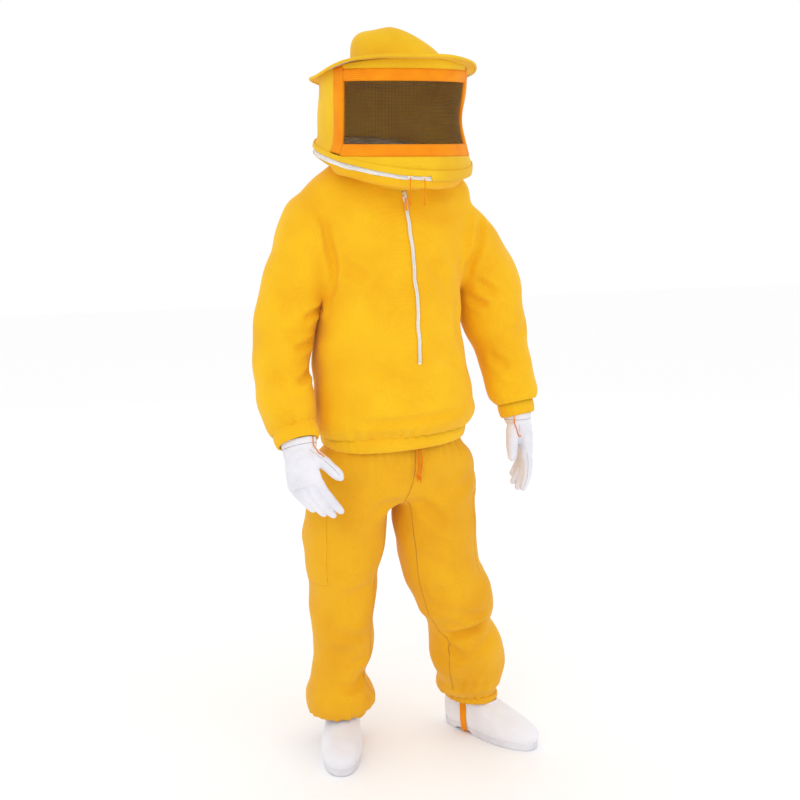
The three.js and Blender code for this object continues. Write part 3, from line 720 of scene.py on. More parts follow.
def lifted(z):
    """How far a sleeve is held off the body, at a height, while the cloth is fused."""
    return 44 * ease((1260 - z) / 220)


def near_limb(points, rows, sign, extra):
    """Which points are within a limb's radius, plus some millimetres, of its axis."""
    fine = through(mirrored(rows, sign), 60)
    gap = np.linalg.norm(points[:, None] - fine[None, :, :3], axis=2) - fine[None, :, 3]
    return gap.min(1) < extra


def make_jacket():
    parts = [skin(upright(TORSO))]
    held = {side: [[row[0] + float(lifted(row[2])), *row[1:]] for row in ARM[side]] for side, sign in SIDES}
    for side, sign in SIDES:
        parts.append(skin(limb(mirrored(held[side], sign))))
    cloth = Cloth(parts, 6.0, 6)
    # The sleeves hang against the body but stay apart from it below the armpits.
    sleeves = {}
    for side, sign in SIDES:
        reach = 7 + 15 * ease((cloth.v[:, 2] - 1226) / 50)
        sleeves[side] = near_limb(cloth.v, held[side], sign, reach) & (cloth.v[:, 0] * sign > 110)
        cloth.v[:, 0] -= sign * lifted(cloth.v[:, 2]) * sleeves[side]
    # The armpits and the shoulders melt into each other.
    z = cloth.v[:, 2]
    x = np.abs(cloth.v[:, 0])
    cloth.relax(26, ease((z - 1180) / 60) * ease((x - 90) / 60) * ease((300 - x) / 40))
    cloth.smooth(4)
    cloth.rumple(2.6, 190, 3)
    cloth.rumple(1.2, 90, 8)
    press_folds(cloth, JACKET_FOLDS)
    cloth.gathers((0, -8, 0), (0, 0, 1), 864, 26, 2.6, 34, 5)
    for side, sign in SIDES:
        point, way = ARM_END[side]
        where = sleeves[side]
        saved = cloth.v.copy()
        cloth.gathers(point, -np.array(way), 6, 16, 2.0, 20, 11 + sign)
        cloth.v = np.where((where & (np.abs(saved[:, 2] - point[2]) < 120))[:, None], cloth.v, saved)
    # The hem sits higher on the wearer's left.
    x, z = cloth.v[:, 0].copy(), cloth.v[:, 2].copy()
    cloth.v[:, 2] += HEM_RISE * (x + 190) * ease((1010 - z) / 120) * ~(sleeves["left"] | sleeves["right"])
    cloth.smooth(1)
    centre = cloth.v[cloth.f].mean(1)
    tree = cloth.tree()
    low_cut = ((0, 0, 858 + HEM_RISE * 190), (HEM_RISE, 0, -1))
    top_cut = ((0, 0, 1518), (0, -0.2, 0.98))
    zones = []
    for side, sign in SIDES:
        point, normal = np.array(SEAM[side][0]), np.array(SEAM[side][1])
        zone = sleeves[side][cloth.f].all(1) & ((centre - point) @ normal > -30)
        zones.append(zone)
        arm = cloth.piece(f"sleeve_{side}_cloth", zone, YELLOW, cuts=[(ARM_END[side][0], ARM_END[side][1]),
                                                                     (point, -normal)])
        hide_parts(f"sleeve_{side}")
        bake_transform(arm)
    sides_cut = [(zone, *SEAM[side]) for zone, (side, sign) in zip(zones, SIDES)]
    body = cloth.piece("jacket_body", None, YELLOW, cuts=[low_cut, top_cut], parts=sides_cut)
    put(body, "torso", "spacer_fabric", "jacket_front_left", "jacket_front_right", "jacket_back")
    return tree


# Each fold: the points it runs through, its half width, its depth and how much its sides rise.
JACKET_FOLDS = [
    ([(-160, -68, 1294), (-135, -99, 1277), (-110, -118, 1264), (-80, -130, 1252)], 15, 9, 0.5),
    ([(-44, -130, 1304), (-66, -135, 1260), (-89, -137, 1211), (-106, -135, 1163)], 16, 7, 0.5),
    ([(-214, -31, 1430), (-190, -70, 1388), (-180, -74, 1340), (-168, -68, 1290), (-168, -70, 1240),
      (-180, -50, 1190)], 10, 11, 0.4),
    ([(-182, -15, 1180), (-212, -58, 1166), (-245, -70, 1152)], 10, 9, 0.6),
    ([(-212, -15, 1106), (-238, -62, 1092), (-272, -72, 1086)], 10, 8, 0.6),
    ([(-212, -30, 1036), (-240, -85, 1020), (-278, -100, 1008)], 10, 9, 0.6),
    ([(-300, -50, 1240), (-290, -62, 1200), (-276, -70, 1150)], 14, 6, 0.5),
    ([(-300, -58, 1136), (-275, -70, 1123), (-248, -68, 1110)], 12, 6, 0.5),
    ([(-330, -60, 1040), (-309, -94, 1017), (-285, -110, 1000)], 12, 8, 0.5),
    ([(-330, -95, 965), (-300, -130, 950), (-262, -130, 945)], 11, 6, 0.5),
    ([(228, -45, 1424), (212, -66, 1372), (200, -74, 1314), (186, -55, 1265), (186, -40, 1222)], 10, 10, 0.4),
    ([(200, -50, 1236), (223, -58, 1224), (245, -62, 1208), (268, -60, 1192)], 11, 9, 0.55),
    ([(192, -20, 1192), (212, -50, 1180), (240, -64, 1170)], 10, 8, 0.5),
    ([(236, -50, 1052), (262, -74, 1030), (296, -84, 1014)], 12, 7, 0.5),
    ([(345, -20, 1120), (322, -62, 1106), (288, -74, 1100)], 13, 6, 0.5),
    ([(262, -60, 970), (292, -98, 962), (330, -96, 958)], 11, 6, 0.5),
    ([(-130, -148, 1056), (-96, -158, 1042), (-45, -171, 1020), (7, -175, 998), (60, -172, 986)], 18, 8, 0.5),
    ([(60, -168, 1086), (100, -152, 1058), (146, -128, 1044)], 17, 6, 0.5),
    ([(-178, -118, 912), (-82, -168, 906), (18, -176, 906), (110, -164, 914), (176, -118, 924)], 11, 6, 0.7),
    ([(40, -130, 1330), (80, -136, 1270), (120, -130, 1215)], 18, 5, 0.5),
    ([(172, -92, 1216), (150, -122, 1150), (158, -110, 1080)], 15, 6, 0.5),
    ([(-60, -118, 1400), (-110, -104, 1392), (-160, -78, 1410)], 18, 4, 0.5),
    ([(50, -118, 1410), (110, -100, 1404), (170, -70, 1418)], 18, 4, 0.5),
    ([(-165, 84, 1340), (-100, 124, 1296), (-35, 136, 1272)], 17, 8, 0.5),
    ([(165, 84, 1336), (104, 124, 1290), (44, 136, 1262)], 17, 8, 0.5),
    ([(-80, 130, 1100), (0, 136, 1066), (84, 130, 1090)], 19, 7, 0.5),
    ([(-130, 120, 966), (-20, 150, 938), (110, 134, 960)], 14, 8, 0.6),
    ([(-186, 60, 1210), (-170, 90, 1130), (-176, 84, 1050)], 15, 7, 0.5),
    ([(186, 60, 1210), (166, 92, 1120), (172, 88, 1040)], 15, 7, 0.5),
    ([(-318, 40, 1190), (-280, 74, 1164), (-240, 56, 1156)], 12, 9, 0.5),
    ([(-334, 30, 1094), (-292, 68, 1070), (-246, 48, 1064)], 12, 9, 0.5),
    ([(316, 40, 1186), (282, 72, 1160), (244, 56, 1150)], 12, 9, 0.5),
    ([(340, 20, 1080), (300, 62, 1060), (256, 44, 1056)], 12, 9, 0.5),
]


def press_folds(cloth, folds):
    tree = cloth.tree()
    for points, width, depth, ridge in folds:
        laid, _ = on_surface(tree, points)
        cloth.fold(laid, width, depth, ridge)


jacket_skin = make_jacket()


# ------------------------------------------------------------------------------------------------------------
# Soft bands: cuffs, hem, waist
# ------------------------------------------------------------------------------------------------------------
def soft_band(name, material, centre, way, u, ru, rv, length, thick, pleats, depth, power=2.0, seed=1,
              taper=0.97,
              bulge=2.5, sides=160):
    """A gathered ring of cloth, from its upper edge down a way, rounded at both edges."""
    rng = np.random.default_rng(seed)
    centre, way, u = (np.asarray(a, float) for a in (centre, way, u))
    way = way / np.linalg.norm(way)
    u = u - u.dot(way) * way
    u /= np.linalg.norm(u)
    v = np.cross(way, u)
    angle = np.arange(sides) * 2 * math.pi / sides
    ripple = sum(np.cos(n * angle + rng.uniform(0, 6.3)) * rng.uniform(0.4,
                                                                       1) for n in range(pleats - 4,
                                                                                         pleats + 5, 2))
    ripple *= depth / 2.4
    section = [(0.0, 0.25), (0.03, 0.7), (0.12, 0.97), (0.3, 1.0), (0.5, 1.0), (0.7, 1.0), (0.88, 0.97),
               (0.97, 0.7),
               (1.0, 0.25), (0.97, -0.1), (0.5, -0.1), (0.03, -0.1)]
    points = np.zeros((sides, len(section), 3))
    bend = lambda w: np.sign(w) * np.abs(w) ** (2 / power)
    for k, (along, out) in enumerate(section):
        shrink = 1 + (taper - 1) * along
        grow = thick * (out - 1) + (bulge * math.sin(math.pi * along) if out > 0 else 0)
        wave = ripple * (1.0 if out > 0.5 else 0.6) * (0.75 + 0.25 * math.cos(2 * math.pi * along))
        ring = np.tile(centre + way * length * along, (sides, 1))
        ring = ring + np.outer(bend(np.cos(angle)) * (ru * shrink + grow + wave), u)
        points[:, k] = ring + np.outer(bend(np.sin(angle)) * (rv * shrink + grow + wave), v)
    rows, columns = points.shape[:2]
    faces = [(r * columns + c, ((r + 1) % rows) * columns + c, ((r + 1) % rows) * columns + (c + 1) % columns,
              r * columns + (c + 1) % columns) for r in range(rows) for c in range(columns)]
    return make_object(name, points.reshape(-1, 3), faces, material)


def make_bands():
    hem = soft_band("hem_band_knit", YELLOW, (0, -10, 866 + HEM_RISE * 190), (HEM_RISE, 0, -1), (1, 0, 0),
                    184, 139, 44, 6, 46, 1.3, 2.3, 4,
                    0.975, 4)
    put(hem, "torso", "spacer_fabric", "jacket_hem_band")
    for side, sign in SIDES:
        (x, y, z), way = ARM_END[side]
        way = np.array(way) / np.linalg.norm(way)
        ru, rv = {"left": (43, 46), "right": (53, 54)}[side]
        cuff = soft_band(f"cuff_{side}_knit", YELLOW, np.array((x, y, z)) - way * 12, way, (1, 0, 0), ru, rv,
                         46, 6, 20,
                         0.9, 2.0, 7, 1.0, 3.5, 110)
        put(cuff, f"arm_{side}", "spacer_fabric", f"cuff_{side}")


make_bands()


# ------------------------------------------------------------------------------------------------------------
# Trousers
# ------------------------------------------------------------------------------------------------------------
HIPS = [[678, 0, 110, -66, 76, 2.0], [700, 0, 190, -104, 108, 2.1], [740, 0, 215, -122, 124, 2.2],
        [770, 0, 216, -128, 126, 2.25], [800, 0, 205, -130, 120, 2.25], [826, 0, 180, -128, 112, 2.25],
        [874, 0, 168, -120, 106, 2.25]]
LEG = {
    "left": [[104, 0, 772, 96, 104], [112, -2, 700, 108, 112], [116, -6, 620, 110, 110],
             [118, -16, 554, 110, 106],
             [133, -26, 470, 97, 101], [170, -32, 389, 99, 99], [178, -27, 322, 80, 83],
             [199, -16, 262, 100, 98],
             [222, -2, 183, 91, 92], [222, 4, 144, 86, 90], [225, 2, 123, 70, 80], [225, 2, 112, 60, 72]],
    "right": [[104, 0, 772, 96, 104], [114, 0, 700, 108, 112], [125, 0, 620, 105, 107],
              [132, 5, 515, 97, 100],
              [130, 12, 410, 87, 90], [130, 30, 275, 77, 85], [134, 42, 215, 69, 86], [133, 44, 180, 76, 94],
              [131, 44, 150, 91, 103], [128, 45, 120, 94, 104], [125, 46, 102, 82, 92],
              [124, 46, 95, 64, 78]],
}
FOOT = {"left": (228, 18, 33), "right": (-119, 52, -19)}
LEG_END = {"left": (225, 2, 116), "right": (-124, 46, 100)}


def make_trousers():
    parts = [skin(upright(HIPS))]
    for side, sign in SIDES:
        parts.append(skin(limb(mirrored(LEG[side], sign), yaw=FOOT[side][2])))
    cloth = Cloth(parts, 6.0, 5)
    z = cloth.v[:, 2]
    cloth.relax(30, ease((z - 610) / 40) * ease((800 - z) / 40) * ease((95 - np.abs(cloth.v[:, 0])) / 50))
    cloth.rumple(2.8, 170, 21)
    cloth.rumple(1.2, 80, 22)
    press_folds(cloth, TROUSER_FOLDS)
    cloth.gathers((0, -6, 0), (0, 0, 1), 826, 28, 2.6, 40, 23, way=-1.0)
    for side, sign in SIDES:
        x, y, end = LEG_END[side]
        saved = cloth.v.copy()
        cloth.gathers((x, y, 0), (0, 0, 1), end, 17, 3.0, 22, 31 + sign)
        mine = (saved[:, 0] * sign > 0) & (saved[:, 2] < 300)
        cloth.v = np.where(mine[:, None], cloth.v, saved)
    cloth.smooth(1)
    tree = cloth.tree()
    for side, sign in SIDES:
        end = LEG_END[side][2]
        half = cloth.piece(f"trousers_{side}", None, DEEP,
                           cuts=[((0, 0, 0), (-sign, 0, 0)), ((0, 0, end), (0, 0, -1)),
                                 ((0, 0, 868), (0, 0, 1))])
        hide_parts(f"trouser_leg_{side}", "trouser_seat")
        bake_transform(half)
        x, y, z = LEG_END[side]
        u = (math.cos(math.radians(FOOT[side][2])), math.sin(math.radians(FOOT[side][2])), 0)
        ru, rv = {"left": (63, 76), "right": (66, 80)}[side]
        cuff = soft_band(f"ankle_cuff_{side}_knit", DEEP, (x, y, z + 4), (0, 0, -1), u, ru, rv, 22, 6, 26,
                         1.6, 2.0, 9,
                         0.95, 3, 120)
        put(cuff, f"leg_{side}", "spacer_fabric", f"ankle_cuff_{side}")
        add_leg_seams(cloth, tree, side, sign)
    fly = [(20, -128, 846), (21, -127, 776), (16, -116, 736), (7, -106, 706), (5, -90, 692)]
    put(seam("centre_seam_cloth", tree, fly, DEEP, 2.6, 1.0, 60), "torso", "spacer_fabric")
    return tree


def leg_part(obj):
    """Bakes the place of a piece that lies on a trouser leg into its mesh."""
    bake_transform(obj)
    return obj


def add_leg_seams(cloth, tree, side, sign):
    inner = {"left": [(18, -80, 690), (27, -74, 662), (34, -89, 582), (45, -83, 494), (71, -75, 392),
                      (104, -66, 322),
                      (122, -80, 300), (134, -84, 248), (148, -60, 147)],
             "right": [(-10, -60, 684), (-30, -60, 640), (-40, -60, 560), (-44, -60, 450), (-50, -50, 330),
                       (-54, -20, 200),
                       (-52, 0, 130)]}[side]
    leg_part(seam(f"inner_leg_seam_{side}", tree, inner, DEEP, 2.6, 0.8, 90, 0.5))
    # The cargo pocket is a raised panel on the outside of the thigh.
    x, y = sign * 128, 2
    centre = cloth.v[cloth.f].mean(1)
    turn = np.degrees(np.arctan2((centre[:, 0] - x) * sign, -(centre[:, 1] - y)))
    zone = (turn > 30) & (turn < 128) & (centre[:, 2] > 460) & (centre[:,
                                                                       2] < 710) & (centre[:, 0] * sign > 60)
    edge = lambda a: (sign * math.cos(math.radians(a)), math.sin(math.radians(a)), 0)
    front, back = edge(40), edge(118)
    panel = cloth.piece(f"pocket_{side}_cloth", zone, DEEP,
                        cuts=[((x, y, 480), (0, 0, -1)), ((x, y, 690), (0, 0, 1)),
                              ((x, y, 0), (-front[0], -front[1], 0)), ((x, y, 0), (back[0], back[1], 0))])
    shell = thicken(panel, 2.6, 0.0)
    leg_part(shell)
    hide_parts(f"pocket_{side}")


TROUSER_FOLDS = [
    ([(20, -128, 840), (21, -127, 776), (16, -116, 736), (7, -106, 703), (4, -80, 684)], 6, 3.5, 0.4),
    ([(8, -102, 700), (-40, -118, 682), (-96, -112, 656)], 15, 7, 0.5),
    ([(24, -96, 692), (66, -118, 662), (116, -124, 612)], 16, 9, 0.5),
    ([(60, -96, 600), (96, -122, 574), (140, -124, 560)], 15, 5, 0.5),
    ([(240, -80, 350), (205, -122, 336), (169, -112, 328), (136, -90, 316), (112, -56, 312)], 13, 15, 0.45),
    ([(136, -100, 402), (180, -130, 378), (232, -112, 376)], 13, 8, 0.5),
    ([(104, -60, 300), (122, -82, 288), (152, -106, 262), (190, -112, 244)], 12, 9, 0.5),
    ([(244, -86, 300), (214, -112, 284), (180, -112, 268)], 13, 6, 0.5),
    ([(70, -96, 470), (100, -118, 448), (150, -124, 440)], 15, 5, 0.5),
    ([(160, -66, 136), (168, -84, 160), (174, -98, 196)], 7, 5, 0.5),
    ([(186, -72, 126), (194, -90, 156), (204, -102, 190)], 7, 5, 0.5),
    ([(216, -74, 126), (228, -94, 158), (232, -102, 184)], 7, 4, 0.5),
    ([(-172, -40, 352), (-140, -70, 342), (-104, -70, 330), (-72, -44, 322)], 14, 7, 0.5),
    ([(-62, -20, 210), (-92, -44, 192), (-132, -50, 186), (-172, -30, 196)], 12, 8, 0.5),
    ([(-84, -56, 470), (-120, -94, 452), (-168, -84, 446)], 16, 5, 0.5),
    ([(-66, -40, 270), (-96, -60, 256), (-140, -58, 250)], 12, 5, 0.5),
    ([(-190, -56, 742), (-150, -100, 706), (-100, -114, 690)], 15, 5, 0.5),
    ([(190, -60, 748), (150, -104, 716), (100, -116, 704)], 15, 5, 0.5),
    ([(0, 112, 856), (0, 126, 790), (0, 112, 726)], 7, 4, 0.4),
    ([(30, 104, 690), (82, 116, 678), (150, 92, 690)], 14, 9, 0.5),
    ([(-30, 104, 690), (-82, 116, 678), (-150, 92, 690)], 14, 9, 0.5),
    ([(80, 66, 440), (124, 80, 420), (176, 58, 424)], 13, 9, 0.5),
    ([(110, 60, 340), (158, 66, 318), (214, 44, 326)], 13, 10, 0.5),
    ([(-80, 80, 430), (-126, 98, 412), (-176, 76, 418)], 13, 8, 0.5),
    ([(-84, 100, 300), (-128, 116, 282), (-176, 96, 292)], 13, 9, 0.5),
]



trouser_skin = make_trousers()


# ------------------------------------------------------------------------------------------------------------
# Hat
# ------------------------------------------------------------------------------------------------------------
def droop(angle):
    """How far the edge of the brim hangs down or curls up, at an angle from the wearer's left."""
    apart = lambda at: (angle - at + math.pi) % (2 * math.pi) - math.pi
    return (4 * np.exp(-(apart(5.6) / 0.5) ** 2) - 15 * np.exp(-(apart(math.pi + 0.15) / 0.5) ** 2)
            - 5 * np.exp(-(apart(0.1) / 0.4) ** 2))


def make_hat():
    count = 128
    angle = np.arange(count) * 2 * math.pi / count
    # Crown: a soft dome, higher and steeper on the wearer's right.
    rows = []
    for k in range(34):
        t = k / 33
        lift = math.sin(t * math.pi / 2)
        r = 113 * math.cos(t * math.pi / 2) ** 0.56 + 0.5
        lean = lift ** 2.0
        x = r * np.cos(angle) * (1 + 0.05 * np.cos(angle)) + 8 - 34 * lean
        y = r * np.sin(angle) - 4 * lean
        sag = 1 - 0.16 * clamp01(np.cos(angle)) * math.sin(t * math.pi) - 0.04 * np.cos(3 * angle + 1) * math.sin(t * math.pi)
        z = 6 + 92 * lift * sag + 1.2 * np.sin(5 * angle + 4 * t) * math.sin(t * math.pi)
        rows.append(np.stack([x, y, z], 1))
    verts, faces = grid(brim_frame(np.array(rows)), closed=True)
    faces.append(list(range(33 * count, 34 * count)))
    crown = make_object("crown_cloth", verts, faces, HOOD)
    put(crown, "hood", "spacer_fabric", "hat_crown")

    # Seam roll where the crown meets the brim.
    def ring_roll(name, material, radius, z, thick, wave=0.0, squash=1.0):
        table = []
        for a in angle:
            c = np.array([8 + (radius + wave * math.sin(7 * a)) * math.cos(a),
                          (radius + wave * math.sin(7 * a)) * math.sin(a), z])
            out = np.array([math.cos(a), math.sin(a), 0])
            table.append([c + thick * (math.cos(b) * out + squash * math.sin(b) * np.array([0, 0, 1]))
                          for b in np.arange(12) * math.pi / 6])
        table = brim_frame(np.array(table))
        n, m = table.shape[:2]
        quads = [(r * m + c, ((r + 1) % n) * m + c, ((r + 1) % n) * m + (c + 1) % m, r * m + (c + 1) % m)
                 for r in range(n) for c in range(m)]
        return make_object(name, table.reshape(-1, 3), quads, material)

    seam = ring_roll("crown_seam", HOOD, 114.5, 6.5, 2.6, 0.4)
    put(seam, "hood", "spacer_fabric")
    # Brim: two layers that part round the crown, a little wavy at the edge.
    rows = []
    profile = [(100, 5.2), (113, 5.4), (135, 4.6), (160, 3.8), (176, 3.5), (185, 3.4), (192, 3.3), (198, 3.2),
               (200, 1.8),
               (198, 0.4), (190, 0.3), (180, 0.2), (172, 0.2), (150, 0.2), (120, 0.2), (100, 0.2)]
    for r, z in profile:
        z = z + droop(angle) * ease((r - 170) / 30)
        wave = ease((r - 115) / 85) * (2.2 * np.sin(2 * angle + 0.6) + 1.5 * np.sin(5 * angle + 1.0) + 0.6 * np.sin(9 * angle))
        rows.append(np.stack([r * np.cos(angle), r * np.sin(angle), z + wave], 1))
    verts, faces = grid(brim_frame(np.array(rows)), closed=True)
    faces += [((len(rows) - 1) * count + i, (len(rows) - 1) * count + (i + 1) % count, (i + 1) % count, i)
              for i in range(count)]
    brim = make_object("brim_cloth", verts, faces, HOOD)
    put(brim, "hood", "spacer_fabric", "hat_brim")
    edge = []
    for a in angle:
        wave = 2.2 * math.sin(2 * a + 0.6) + 1.5 * math.sin(5 * a + 1.0) + 0.6 * math.sin(9 * a)
        out = np.array([math.cos(a), math.sin(a), 0])
        c = 199.5 * out + np.array([0, 0, 1.9 + wave + float(droop(a))])
        edge.append([c + math.cos(b) * 3.4 * out + math.sin(b) * np.array([0, 0,
                                                                           3.6]) for b in np.arange(14) * math.pi / 7])
    edge = brim_frame(np.array(edge))
    n, m = edge.shape[:2]
    quads = [(r * m + c, ((r + 1) % n) * m + c, ((r + 1) % n) * m + (c + 1) % m, r * m + (c + 1) % m)
             for r in range(n) for c in range(m)]
    binding = make_object("brim_binding", edge.reshape(-1, 3), quads, HOOD)
    put(binding, "hood", "spacer_fabric", "brim_edge_binding")
    band = []
    for r, z in ((99.5, 8), (102, 9), (102.4, 22), (102, 35), (99.5, 36), (99, 22)):
        band.append(np.stack([r * np.cos(angle), r * np.sin(angle), z + 0 * angle], 1))
    verts, faces = grid(brim_frame(np.array(band + band[:1])), closed=True)
    put(make_object("sweatband_cloth", verts, faces, HOOD), "hood", "spacer_fabric", "hat_sweatband")


make_hat()


# ------------------------------------------------------------------------------------------------------------
# Veil and window
# ------------------------------------------------------------------------------------------------------------
VEIL = [[RIM_Z, RIM_R, RIM_TILT, RIM_ROLL], [1580, 181, 0.09, 0.035], [1650, 176, 0.0, 0.0],
        [1706, 176, -0.10, 0.0],
        [BRIM_Z, 178, BRIM_TILT, 0.0]]
WINDOW = {"half": 58.0, "low": 1573.0, "high": 1716.0, "strip": 27.5, "side": 10.0}


def veil_table(angles, heights, grow=0.0, soft=1.0):
    """Points of the veil at angles (from the front, towards the wearer's left) and at shares of its height."""
    fine = through(VEIL, 200, "height")
    share = np.linspace(0, 1, len(fine))
    table = []
    for h in heights:
        z, r, tilt, roll = (np.interp(h, share, fine[:, k]) for k in range(4))
        a = np.radians(angles)
        puff = soft * (2.4 * np.sin(3 * a + 5 * h) * math.sin(math.pi * h) + 1.6 * np.sin(7 * a - 4 * h + 1) * math.sin(math.pi * h))
        puff = puff * ease((np.abs(angles) - 60) / 20)
        flat = -7.0 * np.exp(-(np.abs(np.asarray(angles)) / 26) ** 2)
        apart = lambda at: (np.asarray(angles) - at + 180) % 360 - 180
        pinch = -13 * math.exp(-((h - 0.45) / 0.22) ** 2) * np.exp(-(apart(74) / 26) ** 2)
        swell = 9 * math.exp(-((h - 0.55) / 0.3) ** 2) * np.exp(-(apart(-108) / 36) ** 2)
        radius = r + grow + puff + flat * 0.8 + pinch + swell
        p = np.stack([radius * np.sin(a), -radius * np.cos(a), 0 * a], 1)
        table.append(tilted(p, z, tilt, roll))
    return np.array(table)


def height_share(z_front, angles):
    """The share of the veil's height at which its surface has a height, at each angle."""
    shares = np.linspace(0, 1, 120)
    table = veil_table(angles, shares, 0.0, 0.0)[:, :, 2]
    return np.array([np.interp(z_front, table[:, k], shares) for k in range(len(angles))])


def veil_patch(name, material, angles, low, high, grow, thick, rows, crown=0.0, soft=1.0):
    """A closed patch of the veil between two heights, or shares of the height where they are given as such."""
    angles = np.asarray(angles, float)
    lows = height_share(low, angles) if low > 2 else np.full(len(angles), low, float)
    highs = height_share(high, angles) if high > 2 else np.full(len(angles), high, float)
    shares = np.linspace(0, 1, rows)
    outer = np.empty((rows, len(angles), 3))
    inner = np.empty_like(outer)
    for k, angle in enumerate(angles):
        span = lows[k] + (highs[k] - lows[k]) * shares
        edge = np.minimum(1.0, np.minimum(np.arange(rows), np.arange(rows)[::-1]) / 1.0)
        base = veil_table(np.array([angle]), span, 0.0, soft)[:, 0]
        normal = base - veil_table(np.array([angle]), span, -1.0, soft)[:, 0]
        ends = 0.45 if k in (0, len(angles) - 1) else 1.0
        swell = grow + crown * np.sin(math.pi * shares)
        outer[:, k] = base + normal * (swell * (0.5 + 0.5 * edge * ends))[:, None]
        inner[:, k] = base + normal * (grow - thick)
    count = len(angles)
    verts = np.concatenate([outer.reshape(-1, 3), inner.reshape(-1, 3)])
    shift = rows * count
    faces = []
    for r in range(rows - 1):
        for c in range(count - 1):
            i = r * count + c
            faces.append((i, i + 1, i + count + 1, i + count))
            faces.append((shift + i, shift + i + count, shift + i + count + 1, shift + i + 1))
    rim = [c for c in range(count)] + [r * count + count - 1 for r in range(1, rows)]
    rim += [(rows - 1) * count + c for c in range(count - 2, -1, -1)] + [r * count for r in range(rows - 2, 0,
                                                                                                  -1)]
    for a, b in zip(rim, rim[1:] + rim[:1]):
        faces.append((a, shift + a, shift + b, b))
    return make_object(name, verts, faces, material)


def make_veil():
    edge = WINDOW["half"] + WINDOW["side"]
    back = veil_patch("veil_cloth", HOOD, np.linspace(edge, 360 - edge, 130), 0.0, 1.0, 0.0, 5.0, 40)
    put(back, "hood", "spacer_fabric", "veil_back_panel")
    front = np.linspace(-edge, edge, 70)
    low = WINDOW["low"] - WINDOW["strip"]
    high = WINDOW["high"] + WINDOW["strip"]
    lower = veil_patch("veil_lower_cloth", HOOD, front, 0.0, low, 0.0, 5.0, 10, 1.2)
    put(lower, "hood", "spacer_fabric", "veil_lower_band")
    upper = veil_patch("veil_upper_cloth", HOOD, front, high, 1.0, 0.0, 5.0, 8, 0.6)
    put(upper, "hood", "spacer_fabric", "veil_upper_band")
    half = WINDOW["half"]
    wide = np.linspace(-half, half, 70)
    top = veil_patch("binding_top", ORANGE, wide, WINDOW["high"], high, 1.4, 7.4, 8, 1.2)
    put(top, "hood", "orange_tape", "window_binding_top")
    bottom = veil_patch("binding_bottom", ORANGE, wide, low, WINDOW["low"], 1.4, 7.4, 8, 1.2)
    put(bottom, "hood", "orange_tape", "window_binding_bottom")
    for side, sign in SIDES:
        ends = sorted((sign * half, sign * edge))
        strap = veil_patch(f"binding_{side}", ORANGE, np.linspace(ends[0], ends[1], 9),
                           0.05 if sign < 0 else low, 0.985,
                           2.6, 8.4, 44, 0.8)
        put(strap, "hood", "orange_tape", f"window_binding_{side}")
    window = veil_table(wide, np.linspace(float(height_share(WINDOW["low"] - 4, [0])[0]),
                                          float(height_share(WINDOW["high"] + 4, [0])[0]), 24), -2.5, 0.0)
    verts, faces = grid(window)
    screen = make_object("window_net", verts, faces, NET)
    uv = screen.data.uv_layers.new(name="net")
    columns = len(wide)
    for loop in screen.data.loops:
        row, column = divmod(loop.vertex_index, columns)
        uv.data[loop.index].uv = (column / (columns - 1) * 33.0, row / 23 * 15.0)
    put(screen, "hood", "black_net", "window_mesh")


make_veil()


# ------------------------------------------------------------------------------------------------------------
# Neck zip and collar
# ------------------------------------------------------------------------------------------------------------
def coil(path, side, up, pitch, name):
    """Zip teeth: small rounded bars across a path."""
    path, side, up = (np.asarray(a, float) for a in (path, side, up))
    run = np.r_[0, np.cumsum(np.linalg.norm(np.diff(path, axis=0), axis=1))]
    verts, faces = [], []
    for n, s in enumerate(np.arange(pitch / 2, run[-1], pitch)):
        at = np.array([np.interp(s, run, path[:, k]) for k in range(3)])
        across = np.array([np.interp(s, run, side[:, k]) for k in range(3)])
        out = np.array([np.interp(s, run, up[:, k]) for k in range(3)])
        way = np.cross(across, out)
        base = len(verts)
        for a, b, c in ((-1, -1, 0), (1, -1, 0), (1, 1, 0), (-1, 1, 0), (-1, -1, 1), (1, -1, 1), (1, 1, 1),
                        (-1, 1, 1)):
            flat = 0.75 if c else 1.0
            verts.append(at + 2.1 * a * flat * across + 0.32 * pitch * b * flat * way + (1.5 * c - 0.2) * out)
        faces += [(base + 4, base + 5, base + 6, base + 7), (base, base + 1, base + 5, base + 4),
                  (base + 1, base + 2, base + 6, base + 5), (base + 2, base + 3, base + 7, base + 6),
                  (base + 3, base, base + 4, base + 7), (base + 3, base + 2, base + 1, base)]
    return make_object(name, np.array(verts), faces, COIL, smooth=False)


